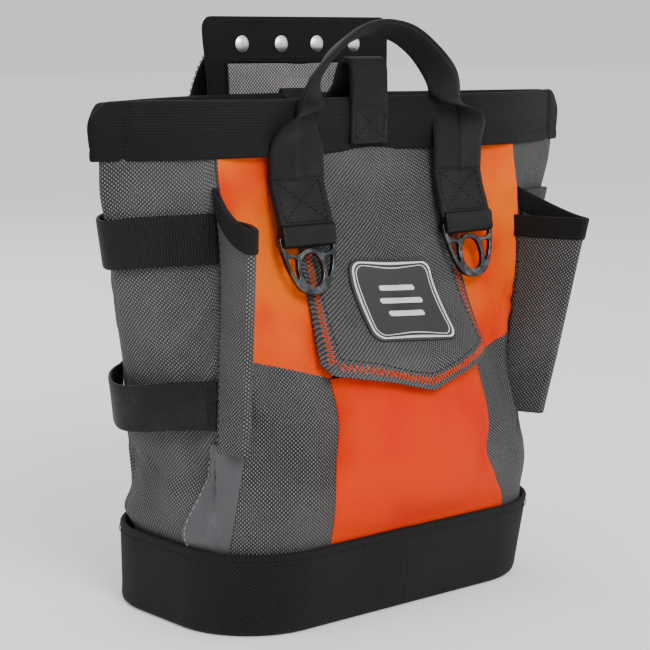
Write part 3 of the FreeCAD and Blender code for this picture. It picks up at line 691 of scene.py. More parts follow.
GREY = ballistic("grey_ballistic", (0.004, 0.004, 0.0042), (0.36, 0.357, 0.357), 0.00105)
GREY_LIGHT = ballistic("grey_window", (0.03, 0.028, 0.028), (0.98, 0.95, 0.94), 0.00105)
BLACK = ballistic("black_ballistic", (0.0015, 0.0015, 0.0017), (0.038, 0.038, 0.040), 0.0010,
                  roughness=0.8)
ORANGE = plain_cloth("orange_cloth", (0.34, 0.003, 0.0), (0.80, 0.012, 0.0),
                     (1.0, 0.165, 0.0), 0.0009)
WEB = webbing("black_webbing", (0.002, 0.002, 0.0022), (0.015, 0.015, 0.016), 0.0011)
WEB_RIBBED = webbing("black_ribbed_webbing", (0.002, 0.002, 0.0022), (0.017, 0.017, 0.018),
                     0.0014)
RIM_WEAVE = ballistic("black_rim_cloth", (0.0015, 0.0015, 0.0017), (0.031, 0.031, 0.033), 0.0007,
                      roughness=0.75)
COATED = coated("grey_coated", (0.055, 0.056, 0.06), (0.10, 0.10, 0.105))
COATED_BLACK = coated("black_coated", (0.004, 0.004, 0.0045), (0.012, 0.012, 0.013), 0.2)
RING = cast_metal("gunmetal", (0.04, 0.045, 0.048), (0.14, 0.15, 0.155), 0.3)
NICKEL = cast_metal("nickel", (0.80, 0.80, 0.80), (0.92, 0.92, 0.92), 0.45)
STEEL = cast_metal("strip_steel", (0.42, 0.43, 0.45), (0.60, 0.61, 0.63), 0.3)
BLACK_THREAD = thread("black_thread", (0.005, 0.005, 0.0055), (0.022, 0.022, 0.023))
GREY_THREAD = thread("grey_thread", (0.07, 0.07, 0.075), (0.16, 0.16, 0.165))
PALE_THREAD = thread("pale_thread", (0.14, 0.14, 0.145), (0.30, 0.30, 0.305))
ORANGE_THREAD = thread("orange_thread", (0.40, 0.02, 0.002), (0.70, 0.07, 0.006))
PATCH_DARK = moulded("patch_dark", (0.010, 0.011, 0.012), (0.020, 0.021, 0.024), 0.6)
PATCH_PALE = moulded("patch_pale", (0.55, 0.55, 0.55), (0.68, 0.68, 0.68))
BOARD = moulded("board", (0.02, 0.02, 0.02), (0.04, 0.04, 0.04), 0.6)
HOOKS = webbing("hook_tape", (0.003, 0.003, 0.003), (0.02, 0.02, 0.02), 0.0006, roughness=0.9)


def finish_piece(obj, material, slot_name, *nodes, body="bag"):
    """Gives a piece its material and its body, and hides what it replaces. slot_name is not used.
    """
    obj.data.materials.append(material)
    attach(obj, body)
    if nodes:
        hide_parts(*nodes)
    return obj


# ------------------------------------------------------------------ shared builders

def skin_point(skin, x, z, lift):
    """Point on the front skin at x and z, moved outward by lift, and the skin's normal there."""
    u, v = front_u(x, z), skin_v(z)
    normal = skin.normal(u, v)
    return skin.at(u, v) + normal * np.asarray(lift, float)[..., None], normal


def chain(points, count):
    """Evenly spaced points along a smooth curve through given points."""
    p = np.asarray(points, float)
    length = run_along(p)
    fine = np.linspace(0, length[-1], 40 * len(p))
    path = np.stack([curve_through(length, p[:, k], fine) for k in range(p.shape[1])], -1)
    run = run_along(path)
    return pick(np.linspace(0, run[-1], count), run, path)


def run_along(points):
    """Arc length at each point of a path, from 0."""
    return np.concatenate([[0], np.cumsum(np.linalg.norm(np.diff(points, axis=0), axis=1))])


def pick(at, run, points):
    """Points of a path where run, which rises along it, is at."""
    return np.stack([np.interp(at, run, points[:, k]) for k in range(points.shape[1])], -1)


def tangents(path):
    return unit(np.gradient(path, axis=0))


def sweep(name, path, across, out, section):
    """Closed section swept along a path. section(i) gives its (across, out) points at step i."""
    rings = []
    for i, point in enumerate(path):
        shape = np.asarray(section(i), float)
        rings.append(point + shape[:, :1] * across[i] + shape[:, 1:] * out[i])
    rings = np.array(rings)
    rows, cols = rings.shape[:2]
    faces = grid_faces(rows, cols, closed=True)
    faces.append(tuple(range(cols))[::-1])
    faces.append(tuple((rows - 1) * cols + i for i in range(cols)))
    uv = np.stack(np.meshgrid(run_along(rings[0]), run_along(path)), -1).reshape(-1, 2) * MM
    return mesh_object(name, rings.reshape(-1, 3), faces, uv)


STRAP_EDGE = 0.5


def strap_section(width, thick):
    """Flat strap section with rounded edges, as (across, out) points."""
    half, t, edge = width / 2, thick / 2, STRAP_EDGE
    xs = np.linspace(-half + edge, half - edge, 9)
    turn = np.linspace(-math.pi / 2, math.pi / 2, 7)[1:-1]
    right = [(half - edge + edge * math.cos(a), t * math.sin(a)) for a in turn]
    left = [(-x, -y) for x, y in right]
    return ([(x, -t) for x in xs] + right + [(x, t) for x in xs[::-1]] + left)


STITCH_SINK = 0.1
STITCH_SIDES = 5
STITCH_RINGS = ((0.0, 0.3), (0.14, 0.9), (0.5, 1.0), (0.86, 0.9), (1.0, 0.3))


def stitches(name, paths, material, slot_name, body="bag", run=2.6, gap=1.0, radius=0.32):
    """Rows of single stitches. Each path is (points, normals, by_corner): a zigzag's stitches
    go from point to point, and the others are spaced along the path."""
    verts = []
    faces = []
    sides = STITCH_SIDES
    for points, normals, by_corner in paths:
        points = np.asarray(points, float)
        normals = np.asarray(normals, float)
        if by_corner:
            each = zip(points[:-1], points[1:], normals)
        else:
            at = run_along(points)
            starts = np.arange(0, at[-1] - run, run + gap)
            each = zip(pick(starts, at, points), pick(starts + run, at, points),
                       pick(starts, at, normals))
        for start, end, up in each:
            along = unit(end - start)
            side = unit(np.cross(along, up))
            top = np.cross(side, along)
            first = len(verts)
            for share, size in STITCH_RINGS:
                rise = radius * (4 * share * (1 - share)) - STITCH_SINK
                centre = start + (end - start) * share + top * rise
                for k in range(sides):
                    a = 2 * math.pi * k / sides
                    verts.append(centre + radius * size * (side * math.cos(a) + top * math.sin(a)))
            faces += grid_faces(len(STITCH_RINGS), sides, first, closed=True)
            faces.append(tuple(first + k for k in range(sides))[::-1])
            last = first + (len(STITCH_RINGS) - 1) * sides
            faces.append(tuple(last + k for k in range(sides)))
    obj = mesh_object(name, verts, faces)
    finish_piece(obj, material, slot_name, body=body)


def row_on(place, first, last, count=40):
    """Stitch path between two (a, b) places of a surface function place(a, b)."""
    a = np.linspace(first[0], last[0], count)
    b = np.linspace(first[1], last[1], count)
    points, normals = place(a, b)
    return points, normals, False


def box_cross(place, a0, a1, b0, b1):
    """Box stitch with a cross in it."""
    corners = ((a0, b0), (a1, b0), (a1, b1), (a0, b1))
    pairs = ((0, 1), (1, 2), (2, 3), (3, 0), (0, 2), (1, 3))
    return [row_on(place, corners[i], corners[j]) for i, j in pairs]


def on_ribbon(path, out, lift):
    """place(a, b) on a strap: a across it in millimetres, b along it from 0 to 1."""
    steps = np.arange(len(path))

    def place(a, b):
        index = np.clip(np.asarray(b) * steps[-1], 0, steps[-1])
        normal = pick(index, steps, out)
        across = np.asarray(a)[:, None] * [1.0, 0, 0]
        return pick(index, steps, path) + across + normal * lift, normal

    return place


def plate(name, outline, rings, place):
    """Closed low relief. outline is a closed star-shaped line round (0, 0); rings are
    (scale, inset, height) from the middle out; place(x, z, height) puts it on the object."""
    line = np.asarray(outline, float)
    inward = -unit(line)
    verts = [place(np.zeros(1), np.zeros(1), rings[0][2])[0]]
    uv = [(0.0, 0.0)]
    count = len(line)
    for scale, inset, height in rings:
        ring = line * scale + inward * inset
        verts += list(place(ring[:, 0], ring[:, 1], height))
        uv += [tuple(p * MM) for p in ring]
    faces = [(0, 1 + (i + 1) % count, 1 + i)[::-1] for i in range(count)]
    faces += [f[::-1] for f in grid_faces(len(rings), count, 1, closed=True)]
    last = 1 + (len(rings) - 1) * count
    faces.append(tuple(last + i for i in range(count))[::-1])
    return mesh_object(name, verts, faces, uv)


def rounded_outline(half_x, half_z, radius, step=1.0):
    """Closed rounded rectangle about (0, 0), anticlockwise, evenly spaced."""
    corners = ((half_x - radius, -half_z + radius, -90), (half_x - radius, half_z - radius, 0),
               (-half_x + radius, half_z - radius, 90), (-half_x + radius, -half_z + radius, 180))
    points = []
    for cx, cz, start in corners:
        for angle in np.radians(np.linspace(start, start + 90, 9)):
            points.append((cx + radius * math.cos(angle), cz + radius * math.sin(angle)))
    points = np.array(points + points[:1])
    run = run_along(points)
    return pick(np.linspace(0, run[-1], max(24, int(run[-1] / step)) + 1)[:-1], run, points)


# ------------------------------------------------------------------ body panels and layers

PANEL_LOW = 36.0
LAYER_LOW = 40.0
PANEL_TOP = RIM_LOW + 5
LAYER_TOP = RIM_LOW + 3
POCKET_TOP = 131.0
POCKET_SWELL = 14.0
FLAP_SWELL = 16.8
FLAP_LAP = 2.6
FLAP_RUN = 130.0
FLAP_HEM = 8.4


def build_body(skin):
    panels = (("front_fabric", "front_panel", 0.0), ("right_fabric", "side_panel_right", 1.0),
              ("back_fabric", "back_panel", 2.0), ("left_fabric", "side_panel_left", 3.0))
    for name, node, first in panels:
        obj = patch(skin, name, lambda s, t: ring_u(first + s), rising(PANEL_LOW, PANEL_TOP),
                    1.6, lift=-0.9, step=3.4)
        finish_piece(obj, GREY, "grey_fabric", node)


def pocket_edge(z, right):
    """Half width of the front pocket on one side; the right edge swings in over a fold."""
    left_x = curve_through((36, 50, 72, 90, 110, 134), (58, 58, 59.4, 56.5, 52.5, 54.3), z)
    right_x = curve_through((36, 52, 66, 80, 94, 134), (73, 70, 58, 50, 56, 58), z)
    return np.where(right, right_x, left_x)


def pocket_swell(x, z):
    """How far the front pocket stands off the skin: full in the middle, tucked at its seams."""
    share = np.clip((z - POCKET_LOW) / (POCKET_TOP - POCKET_LOW), 0, 1)
    rise = 0.12 + 0.88 * np.sin(np.clip(share * 1.45 + 0.08, 0, 1) * math.pi / 2)
    edge_x = pocket_edge(z, x > 0)
    side = 1 - np.clip(np.abs(x) / edge_x, 0, 1) ** 3.2
    pleat = noise(x * 0.7 + z * 0.35, z * 0.5, 12.0, 21) * 2.0
    edge = bump(np.abs(x), edge_x - 7, 7) * noise(x * 0.2, z, 9.0, 8) * 2.4
    return POCKET_SWELL * rise * side + (pleat + edge) * np.clip(side * 2.5, 0, 1)


def flap_lift(x, z):
    """How far the flap stands off the skin, over the pocket's swell."""
    share = np.clip((178 - z) / 44, 0, 1)
    side = 1 - np.clip(np.abs(x) / (FLAP_HALF + 6), 0, 1) ** 3.0
    wave_out = noise(x * 0.6, z * 0.4, 22.0, 31) * 0.8
    return FLAP_SWELL * share ** 1.5 * side + (FLAP_LAP + wave_out) * share


def flap_point(skin, x, z, lift):
    tucked = 0.9 * smooth((z - 230) / 14)
    return skin_point(skin, x, z, 1.2 + flap_lift(x, z) + lift - tucked)


def build_front_layers(skin):
    for side, sign in (("left", -1), ("right", 1)):
        def strip(name, node, inner, z0, z1, material, slot_name, lift, skew):
            def u_of(s, t):
                z = z0 + (z1 - z0) * t
                a = sign * inner(z)
                b = sign * (seam_x(z) - 0.4)
                return front_u(a + (b - a) * s if sign > 0 else b + (a - b) * s, z)

            def v_of(s, t):
                share = s if sign > 0 else 1 - s
                return skin_v(z0 + (z1 - z0) * t + skew * (1 - t) * share)

            obj = patch(skin, name + "_" + side, u_of, v_of, 1.3, lift=lift, step=2.8)
            finish_piece(obj, material, slot_name, node + "_" + side)

        strip("orange_yoke", "yoke", lambda z: 0 * z + FLAP_HALF - 6, 131.5, LAYER_TOP,
              ORANGE, "orange_fabric", 0.75, 17.0 if sign < 0 else 9.0)
        strip("lower_side", "pocket_side", lambda z: pocket_edge(z, sign > 0) - 1, 38.0, 152.0,
              GREY, "grey_fabric", 0.55, 0.0)

    def pocket_u(s, t):
        z = LAYER_LOW + (POCKET_TOP + 1 - LAYER_LOW) * t
        near, far = pocket_edge(z, False), pocket_edge(z, True)
        return front_u((near + far) * s - near, z)

    def pocket_out(u, v):
        z = SKIN_LOW + (SKIN_HIGH - SKIN_LOW) * v
        x = across_share(u * 4) * seam_x(z)
        return 1.1 + pocket_swell(x, z) * smooth((z - 42) / 14)

    pocket = patch(skin, "front_pouch", pocket_u, rising(LAYER_LOW, POCKET_TOP + 1), 1.5,
                   lift=pocket_out, step=2.2)
    finish_piece(pocket, ORANGE, "orange_fabric", "front_pocket")
    build_flap(skin)


def flap_wide(x, z):
    """The flap flares a little towards its lower corners, more on the left."""
    low = np.where(x < 0, 0.065, 0.01) * smooth((185 - z) / 50)
    return x * (1 + low + np.where(x < 0, 0.13, 0.0) * smooth((z - 195) / 45))


def flap_low(x):
    """Height of the flap's lower edge: a shallow point in the middle, round at the corners."""
    share = np.abs(x) / FLAP_HALF
    return FLAP_TIP + 16.5 * share ** 1.15 + 5.0 * smooth((share - 0.93) / 0.07)


def build_flap(skin):
    s, t = stops(2 * FLAP_HALF, 2.4), stops(FLAP_RUN, 2.4)
    share = edge_share(t, FLAP_RUN)[:, None] * edge_share(s, 2 * FLAP_HALF)[None]
    x, t = np.meshgrid((2 * s - 1) * FLAP_HALF, t)
    z = flap_low(x) + (LAYER_TOP - flap_low(x)) * t
    x = flap_wide(x, z)
    points, _ = flap_point(skin, x, z, 1.0)
    obj = sheet_mesh("front_flap", points, 1.9 * share)
    finish_piece(obj, GREY, "grey_fabric", "center_flap")
    build_zigzag(skin)


def build_zigzag(skin):
    """Zigzag thread along the flap's sides and lower edge."""
    inset, swing, pitch = 4.6, 2.1, 2.4
    side_z = np.arange(138.0, 236.0, pitch / 2)
    low_x = np.arange(-FLAP_HALF + inset + 2, FLAP_HALF - inset - 1, pitch / 2)
    rows = []
    for sign in (-1, 1):
        x = sign * (FLAP_HALF - inset + swing * (-1.0) ** np.arange(len(side_z)))
        rows.append((*flap_point(skin, flap_wide(x, side_z), side_z, 2.1), True))
    z = flap_low(low_x) + inset + swing * (-1.0) ** np.arange(len(low_x))
    rows.append((*flap_point(skin, flap_wide(low_x, z), z, 2.1), True))
    stitches("flap_zigzag", rows, ORANGE_THREAD, "orange_fabric", radius=0.3)
    hem = []
    z = np.linspace(140, 236, 60)
    for sign in (-1, 1):
        edge_x = flap_wide(sign * (FLAP_HALF - FLAP_HEM) + 0 * z, z)
        hem.append((*flap_point(skin, edge_x, z, 2.0), False))
    x = np.linspace(-FLAP_HALF + FLAP_HEM, FLAP_HALF - FLAP_HEM, 70)
    z = flap_low(x)
    hem.append((*flap_point(skin, flap_wide(x, z), z + FLAP_HEM, 2.0), False))
    stitches("flap_stitching", hem, BLACK_THREAD, "grey_fabric", radius=0.28)


PATCH_HALF_X = 30.0
PATCH_HALF_Z = 22.0
PATCH_Z = 165.5
PATCH_TILT = math.radians(-4.0)


def build_patch(skin):
    """Plain moulded patch: a dark rounded plate with a pale raised border and three bars."""
    def place(x, z, height):
        turned_x = x * math.cos(PATCH_TILT) - z * math.sin(PATCH_TILT)
        turned_z = x * math.sin(PATCH_TILT) + z * math.cos(PATCH_TILT)
        return flap_point(skin, turned_x, PATCH_Z + turned_z, 2.1 + height)[0]

    line = rounded_outline(PATCH_HALF_X, PATCH_HALF_Z, 6.0)
    base = plate("plain_patch", line, ((0.0, 0, 1.5), (0.35, 0, 1.5), (0.6, 0, 1.5),
                                       (0.8, 0, 1.5), (1.0, 1.0, 1.5), (1.0, 0.3, 1.25),
                                       (1.0, 0, 0.7), (1.0, 0, -0.3)), place)
    finish_piece(base, PATCH_DARK, "patch_rubber", "label_patch")
    for index, (inset, wide, tall) in enumerate(((1.6, 1.3, 2.0), (4.3, 0.6, 1.8))):
        rings = ((1.0, inset + wide, 1.3), (1.0, inset + wide, tall - 0.15),
                 (1.0, inset + wide - 0.2, tall), (1.0, inset + 0.2, tall),
                 (1.0, inset, tall - 0.15), (1.0, inset, 1.3))
        border = ring_relief("patch_border_%d" % (index + 1), line, rings, place)
        finish_piece(border, PATCH_PALE, "patch_rubber")
    rings = ((0.0, 0, 2.1), (0.6, 0, 2.1), (1.0, 0.5, 2.05), (1.0, 0.15, 1.9), (1.0, 0, 1.3))
    for index, z in enumerate((-7.0, 0.0, 7.0)):
        bar = plate("patch_bar_%d" % (index + 1),
                    rounded_outline(15.0 - abs(z) * 0.35, 1.5, 1.45, 0.8), rings,
                    lambda a, b, h: place(a, b + z, h))
        finish_piece(bar, PATCH_PALE, "patch_rubber")


def ring_relief(name, outline, rings, place):
    """Closed raised band along an outline. rings are (scale, inset, height) round its section."""
    line = np.asarray(outline, float)
    inward = -unit(line)
    count = len(line)
    verts = []
    for scale, inset, height in rings:
        ring = line * scale + inward * inset
        verts += list(place(ring[:, 0], ring[:, 1], height))
    total = len(rings) * count
    faces = [tuple(k % total for k in quad)[::-1]
             for quad in grid_faces(len(rings) + 1, count, closed=True)]
    return mesh_object(name, verts, faces)


STRIP_HEIGHT = 62.0


def build_corner_strips(skin):
    """Smooth coated strips over the front corner seams, topstitched along one edge."""
    rows = []
    for side, sign in (("left", -1), ("right", 1)):
        def strip_u(s, t):
            z = LAYER_LOW + STRIP_HEIGHT * t
            front_in = 4 * front_u(sign * (seam_x(z) - 2.0 - 7.0 * t), z)
            front_in = front_in if sign > 0 else 1 - front_in
            side_in = 1.27 - 0.19 * smooth(t)
            share = s if sign > 0 else 1 - s
            u = front_in + (side_in - front_in) * share
            return ring_u(u if sign > 0 else 1 - u)

        strip_v = rising(LAYER_LOW, LAYER_LOW + STRIP_HEIGHT)
        obj = patch(skin, "corner_strip_" + side + "_cover", strip_u, strip_v, 1.2, lift=1.5,
                    step=2.4)
        finish_piece(obj, COATED, "grey_vinyl", "corner_strip_" + side)
        t = np.linspace(0.04, 0.95, 60)
        s = 0.09 if sign < 0 else 0.91
        u, v = strip_u(s + 0 * t, t), strip_v(s, t)
        normal = skin.normal(u, v)
        rows.append((skin.at(u, v) + normal * 2.15, normal, False))
    stitches("corner_topstitch", rows, PALE_THREAD, "grey_vinyl", run=2.4, gap=1.4)


# ------------------------------------------------------------------ base cup

CUP_HALF_X = 115.0
CUP_HALF_Y = 67.0
CUP_CORNER = 47.0
CUP_FLARE = 3.5


def cup_point(share, z, grow=0.0):
    """Point on the cup's outer face. share runs once round it from the middle of the front."""
    share = np.asarray(share, float)
    z = np.asarray(z, float)
    flare = CUP_FLARE * z / CUP_TOP + grow
    straight_x = CUP_HALF_X - CUP_CORNER
    straight_y = CUP_HALF_Y - CUP_CORNER
    arc = CUP_CORNER * math.pi / 2
    total = 4 * (straight_x + straight_y + arc)
    run = (share % 1.0) * total
    edges = np.cumsum([straight_x, arc, 2 * straight_y, arc, 2 * straight_x, arc,
                       2 * straight_y, arc, straight_x])
    centres = ((straight_x, -straight_y), (straight_x, straight_y), (-straight_x, straight_y),
               (-straight_x, -straight_y))
    radius = CUP_CORNER + flare
    x = np.where(run <= edges[0], run, run - total)
    y = 0 * run - CUP_HALF_Y - flare
    for k in range(4):
        start, end = edges[2 * k], edges[2 * k + 1]
        angle = (run - start) / arc * math.pi / 2 + (k - 1) * math.pi / 2
        inside = (run > start) & (run <= end)
        x = np.where(inside, centres[k][0] + radius * np.cos(angle), x)
        y = np.where(inside, centres[k][1] + radius * np.sin(angle), y)
    straights = ((CUP_HALF_X + flare, run - edges[1] - straight_y),
                 (straight_x - (run - edges[3]), CUP_HALF_Y + flare),
                 (-CUP_HALF_X - flare, straight_y - (run - edges[5])))
    for k, (along_x, along_y) in enumerate(straights):
        inside = (run > edges[2 * k + 1]) & (run <= edges[2 * k + 2])
        x = np.where(inside, along_x, x)
        y = np.where(inside, along_y, y)
    lean = 4.0 - 2.5 * z / CUP_TOP
    return np.stack([x - lean, y + lean, z + 0 * x], -1)


def build_cup():
    """Stiff fabric wrap: bowed wall, rolled foot, turned top edge, and a flat bottom."""
    count = 260
    share = np.linspace(0, 1, count, endpoint=False)
    girth = share * 560.0
    profile = [(0.0, -9.0), (0.0, -3.4), (0.5, -1.6), (1.6, -0.5), (3.4, 0.0)]
    profile += [(z, 0.0) for z in np.linspace(6, 41, 11)]
    profile += [(42.6, 0.15), (44.0, 0.1), (45.0, -0.5), (45.3, -1.6), (44.8, -2.7), (42.0, -3.0),
                (34.0, -2.8), (20.0, -2.8), (8.0, -2.9), (4.2, -3.4), (3.2, -6.0), (3.0, -12.0)]
    rows = []
    for z, grow in profile:
        body = smooth(z / 10.0) * smooth((CUP_TOP + 4 - z) / 10.0)
        slack = noise(girth, 0 * girth + z * 0.7, 46.0, 3) * 0.9 * body
        wavy = noise(girth, 0 * girth, 60.0, 9) * 0.9 * smooth((z - 30) / 14)
        rows.append(cup_point(share, z, grow + slack) + np.array([0, 0, 1.0]) * wavy[:, None])
    rows = np.array(rows)
    verts = rows.reshape(-1, 3)
    faces = grid_faces(len(rows), count, closed=True)
    faces.append(tuple(range(count))[::-1])
    last = (len(rows) - 1) * count
    faces.append(tuple(last + i for i in range(count)))
    uv = arc_uv(np.concatenate([rows, rows[:, :1]], 1))[:, :-1]
    cup = mesh_object("cup_wrap", verts, faces, uv.reshape(-1, 2))
    finish_piece(cup, BLACK, "black_fabric", "base_cup")
    s = np.linspace(0, 1, 700)
    points = cup_point(s, 0 * s + 40.0, 0.45)
    path = (points, unit(points * np.array([1, 1.6, 0])), False)
    stitches("cup_stitching", [path], BLACK_THREAD, "black_fabric", run=2.8)


# ------------------------------------------------------------------ rim sleeves

RIM_HALF = 166.4
RIM_SEAM = 107.0
RIM_END_Y = -12.0
RIM_END_SEAM = 152.0
RIM_HEM = 6.0


def rim_line(front, count):
    """Middle line of a rim sleeve in plan, and its outward directions, left to right."""
    seam, middle = (-34.0, -28.0) if front else (20.6, 26.1)
    ys = (RIM_END_Y, seam, middle, seam, RIM_END_Y)
    xs = (-RIM_HALF, -RIM_SEAM, 0.0, RIM_SEAM, RIM_HALF)
    s = np.linspace(-1, 1, count)
    x = RIM_HALF * (np.sin(s * math.pi / 2) * 0.4 + s * 0.6)
    y = curve_through(xs, ys, x)
    path = np.stack([x, y, 0 * x], -1)
    along = tangents(path)
    out = np.stack([along[:, 1], -along[:, 0], 0 * x], -1)
    return path, out if front else -out


def rim_section(z_top, squeeze):
    """Sleeve over a spring strip: a flat hem below its stitch line, then two swollen faces."""
    hem = RIM_LOW + RIM_HEM
    heights = [RIM_LOW + 0.2, RIM_LOW + 2, hem - 1.0, hem, hem + 1.2, hem + 4]
    heights += list(np.linspace(hem + 7, z_top - 3, 5)) + [z_top - 1.4, z_top - 0.4, z_top]
    widths = [1.2, 1.95, 1.9, 1.5, 1.9, 2.3, 2.6, 2.8, 2.85, 2.75, 2.5, 1.9, 1.1, 0.0]
    outer = [(w * squeeze, z) for w, z in zip(widths, heights)]
    inner = [(-w * squeeze, z) for w, z in zip(widths[-2::-1], heights[-2::-1])]
    return outer + inner


def build_rim():
    count = 190
    rows = []
    for name, front in (("front", True), ("back", False)):
        path, out = rim_line(front, count)
        gather = noise(path[:, 0], path[:, 1], 30.0, 6 if front else 16) * 0.7
        lift = noise(path[:, 0], 0 * path[:, 0], 70.0, 4 if front else 14) * 0.9
        near_end = np.clip((RIM_HALF - np.abs(path[:, 0])) / 9.0, 0, 1)

        def section(i):
            top = RIM_HIGH + lift[i] - 7.0 * (1 - near_end[i]) ** 2
            squeeze = 0.8 + 0.2 * smooth(near_end[i])
            crease = 0.5 * bump(np.abs(path[i, 0]), RIM_END_SEAM, 2.2)
            shape = np.array(rim_section(top, squeeze - crease))
            shape[:, 0] += gather[i] * smooth((shape[:, 1] - RIM_LOW) / 16)
            return shape

        up = np.tile([0.0, 0.0, 1.0], (count, 1))
        sleeve = sweep("rim_sleeve_" + name, path, out, up, section)
        finish_piece(sleeve, RIM_WEAVE, "black_fabric", "rim_band_" + name)
        inner = slice(4, count - 4)
        points = path[inner] + out[inner] * 1.3 + np.array([0, 0, RIM_LOW + RIM_HEM])
        rows.append((points, out[inner], False))
        for x in (-RIM_END_SEAM, RIM_END_SEAM):
            place = pick(x, path[:, 0], path)
            side = pick(x, path[:, 0], out)
            heights = np.linspace(RIM_LOW + 8, RIM_HIGH - 3, 20)
            points = place + side * 1.5 + np.stack([0 * heights, 0 * heights, heights], -1)
            rows.append((points, np.tile(side, (20, 1)), False))
    stitches("rim_stitching", rows, BLACK_THREAD, "black_fabric", run=2.8)


# ------------------------------------------------------------------ side loops and holsters

LOOP_STAND = {"upper": 0.6, "lower": 8.0}


def band_swell(skin, rest, around, base, top):
    """How far the wrinkled fabric stands out under a band, evened out along it."""
    heights = np.linspace(base, top, 5)[:, None]
    where = around(SHARE_T[None] + 0 * heights)
    normal = rest.normal(where, skin_v(heights))
    gap = skin.at(where, skin_v(heights)) - rest.at(where, skin_v(heights))
    gap = (gap * normal).sum(-1).max(0)
    kernel = bump(np.arange(-60, 61), 0, 28)
    return np.convolve(np.pad(gap, 60, mode="edge"), kernel / kernel.sum(), mode="valid") + 0.5


def build_tool_loops(skin, rest):
    """Webbing bands across each side, standing off the fabric in the middle."""
    rows = []
    for level in ("upper", "lower"):
        base = low("tool_loop_%s_right" % level, 2)
        top = high("tool_loop_%s_right" % level, 2)
        for side, sign in (("left", -1), ("right", 1)):
            def around(u):
                return ring_u(1 + u if sign > 0 else 4 - u)

            swell = band_swell(skin, rest, around, base, top)

            def band(u, z, extra=0.0):
                """Band skin at side share u (0 front seam, 1 back seam) and height z."""
                opened = np.clip((u - 0.05) / 0.9, 0, 1)
                stand = 1.5 + LOOP_STAND[level] * np.sin(math.pi * opened) ** 1.1
                stand = stand + np.interp(u, SHARE_T, swell)
                level_top = rest.at(around(u), skin_v(0 * z + top))
                normal = rest.normal(around(u), skin_v(z))
                own = rest.at(around(u), skin_v(z))
                flat = own + (level_top - own) * np.array([0.22, 0.22, 0.0])
                flat[..., 2] = z + noise(u * 60.0, z * 0.3, 25.0, 40) * 0.5
                return flat + normal * (stand + extra)[..., None], normal

            u = np.linspace(0.015, 0.985, 78)
            t = stops(top - base, 2.2)
            uu, tt = np.meshgrid(u if sign > 0 else u[::-1], t)
            droop = 1.0 * np.sin(math.pi * uu)
            points, _ = band(uu, base + (top - base) * tt - droop, 0 * uu)
            share = edge_share(t, top - base)[:, None]
            name = "loop_band_%s_%s" % (level, side)
            obj = sheet_mesh(name, points, 2.0 * share)
            finish_piece(obj, WEB_RIBBED, "black_webbing", "tool_loop_%s_%s" % (level, side))

            def place(a, b):
                return band(a, b, 1.1)

            rows += box_cross(place, 0.90, 0.965, base + 3, top - 3)
            for a in (0.05, 0.07):
                rows.append(row_on(place, (a, base + 2), (a, top - 2)))
    stitches("loop_stitching", rows, BLACK_THREAD, "black_webbing")


HOLSTER_LOW = 92.0
HOLSTER_RUN = 120.0
TAPE_HIGH = 12.5
HOLSTER_FOOT = {"left": 98.0, "right": 92.0}
HOLSTER_REACH = {"left": -4.0, "right": 0.0}
HOLSTER_HIGH = 212.0
HOLSTER_RISE = 17.0
HOLSTER_SHIFT = {"left": 2.5, "right": -6.5}


def holster_path(z, reach):
    """Plan of a holster, as if on the right: front skin, out to the rounded tip, back to the
    side. The one without reach is tucked in round the drawn-in corner."""
    front, corner_x, front_seam, *_, power = plan(z)
    share = (z - HOLSTER_LOW) / 119.0
    tip = np.stack([108.5 + 10.5 * share, -59.5 - (23.0 + reach) * share], -1)
    tucked = reach == 0
    pull = corner_pull(z) if tucked else 0 * z
    start_x = corner_x - (2.0 if tucked else 9.0)
    start_y = (front + (front_seam - front) * (start_x / corner_x) ** power
               - (0.4 if tucked else 1.6))
    start = np.stack([start_x - 0.92 * pull, start_y + 0.23 * pull], -1)
    back = 4.0 if tucked else -1.2
    end = np.stack([corner_x + 2.6 - pull, front_seam + back + 0.25 * pull], -1)
    return start, tip, end


def holster_point(p, z, reach, wall=0.0):
    """p: 0 on the front, 0.5 at the tip, 1 on the side. wall moves the skin outward."""
    start, tip, end = holster_path(z, reach)
    p = np.asarray(p, float)
    left = np.clip(p / 0.46, 0, 1)[..., None]
    right = np.clip((p - 0.54) / 0.46, 0, 1)[..., None]
    turn = np.clip((p - 0.46) / 0.08, 0, 1)[..., None] * math.pi
    near = unit(tip - (start + end) / 2)
    cross = np.stack([-near[..., 1], near[..., 0]], -1)
    radius = 2.0
    corner_a = tip - cross * radius - near * radius
    corner_b = tip + cross * radius - near * radius
    arc = tip - near * radius - cross * radius * np.cos(turn) + near * radius * np.sin(turn)
    flat = np.where(p[..., None] < 0.46, start + (corner_a - start) * left,
                    np.where(p[..., None] > 0.54, corner_b + (end - corner_b) * right, arc))
    swell = (np.sin(math.pi * left) - np.sin(math.pi * right)) * 1.0
    flat = flat - cross * swell * smooth((z - 100) / 60)[..., None] * 2.0
    outward = np.where(p[..., None] < 0.46, -cross, np.where(p[..., None] > 0.54, cross,
                       near * np.sin(turn) - cross * np.cos(turn)))
    flat = flat + outward * wall
    return np.concatenate([flat, np.broadcast_to(z, p.shape)[..., None]], -1)


def holster_top(p, shift):
    """Height of the mouth: level across the front wall, climbing along the side wall."""
    rise = np.clip(2 * np.asarray(p, float) - 1, 0, 1)
    return HOLSTER_HIGH + shift + HOLSTER_RISE * rise ** 1.6


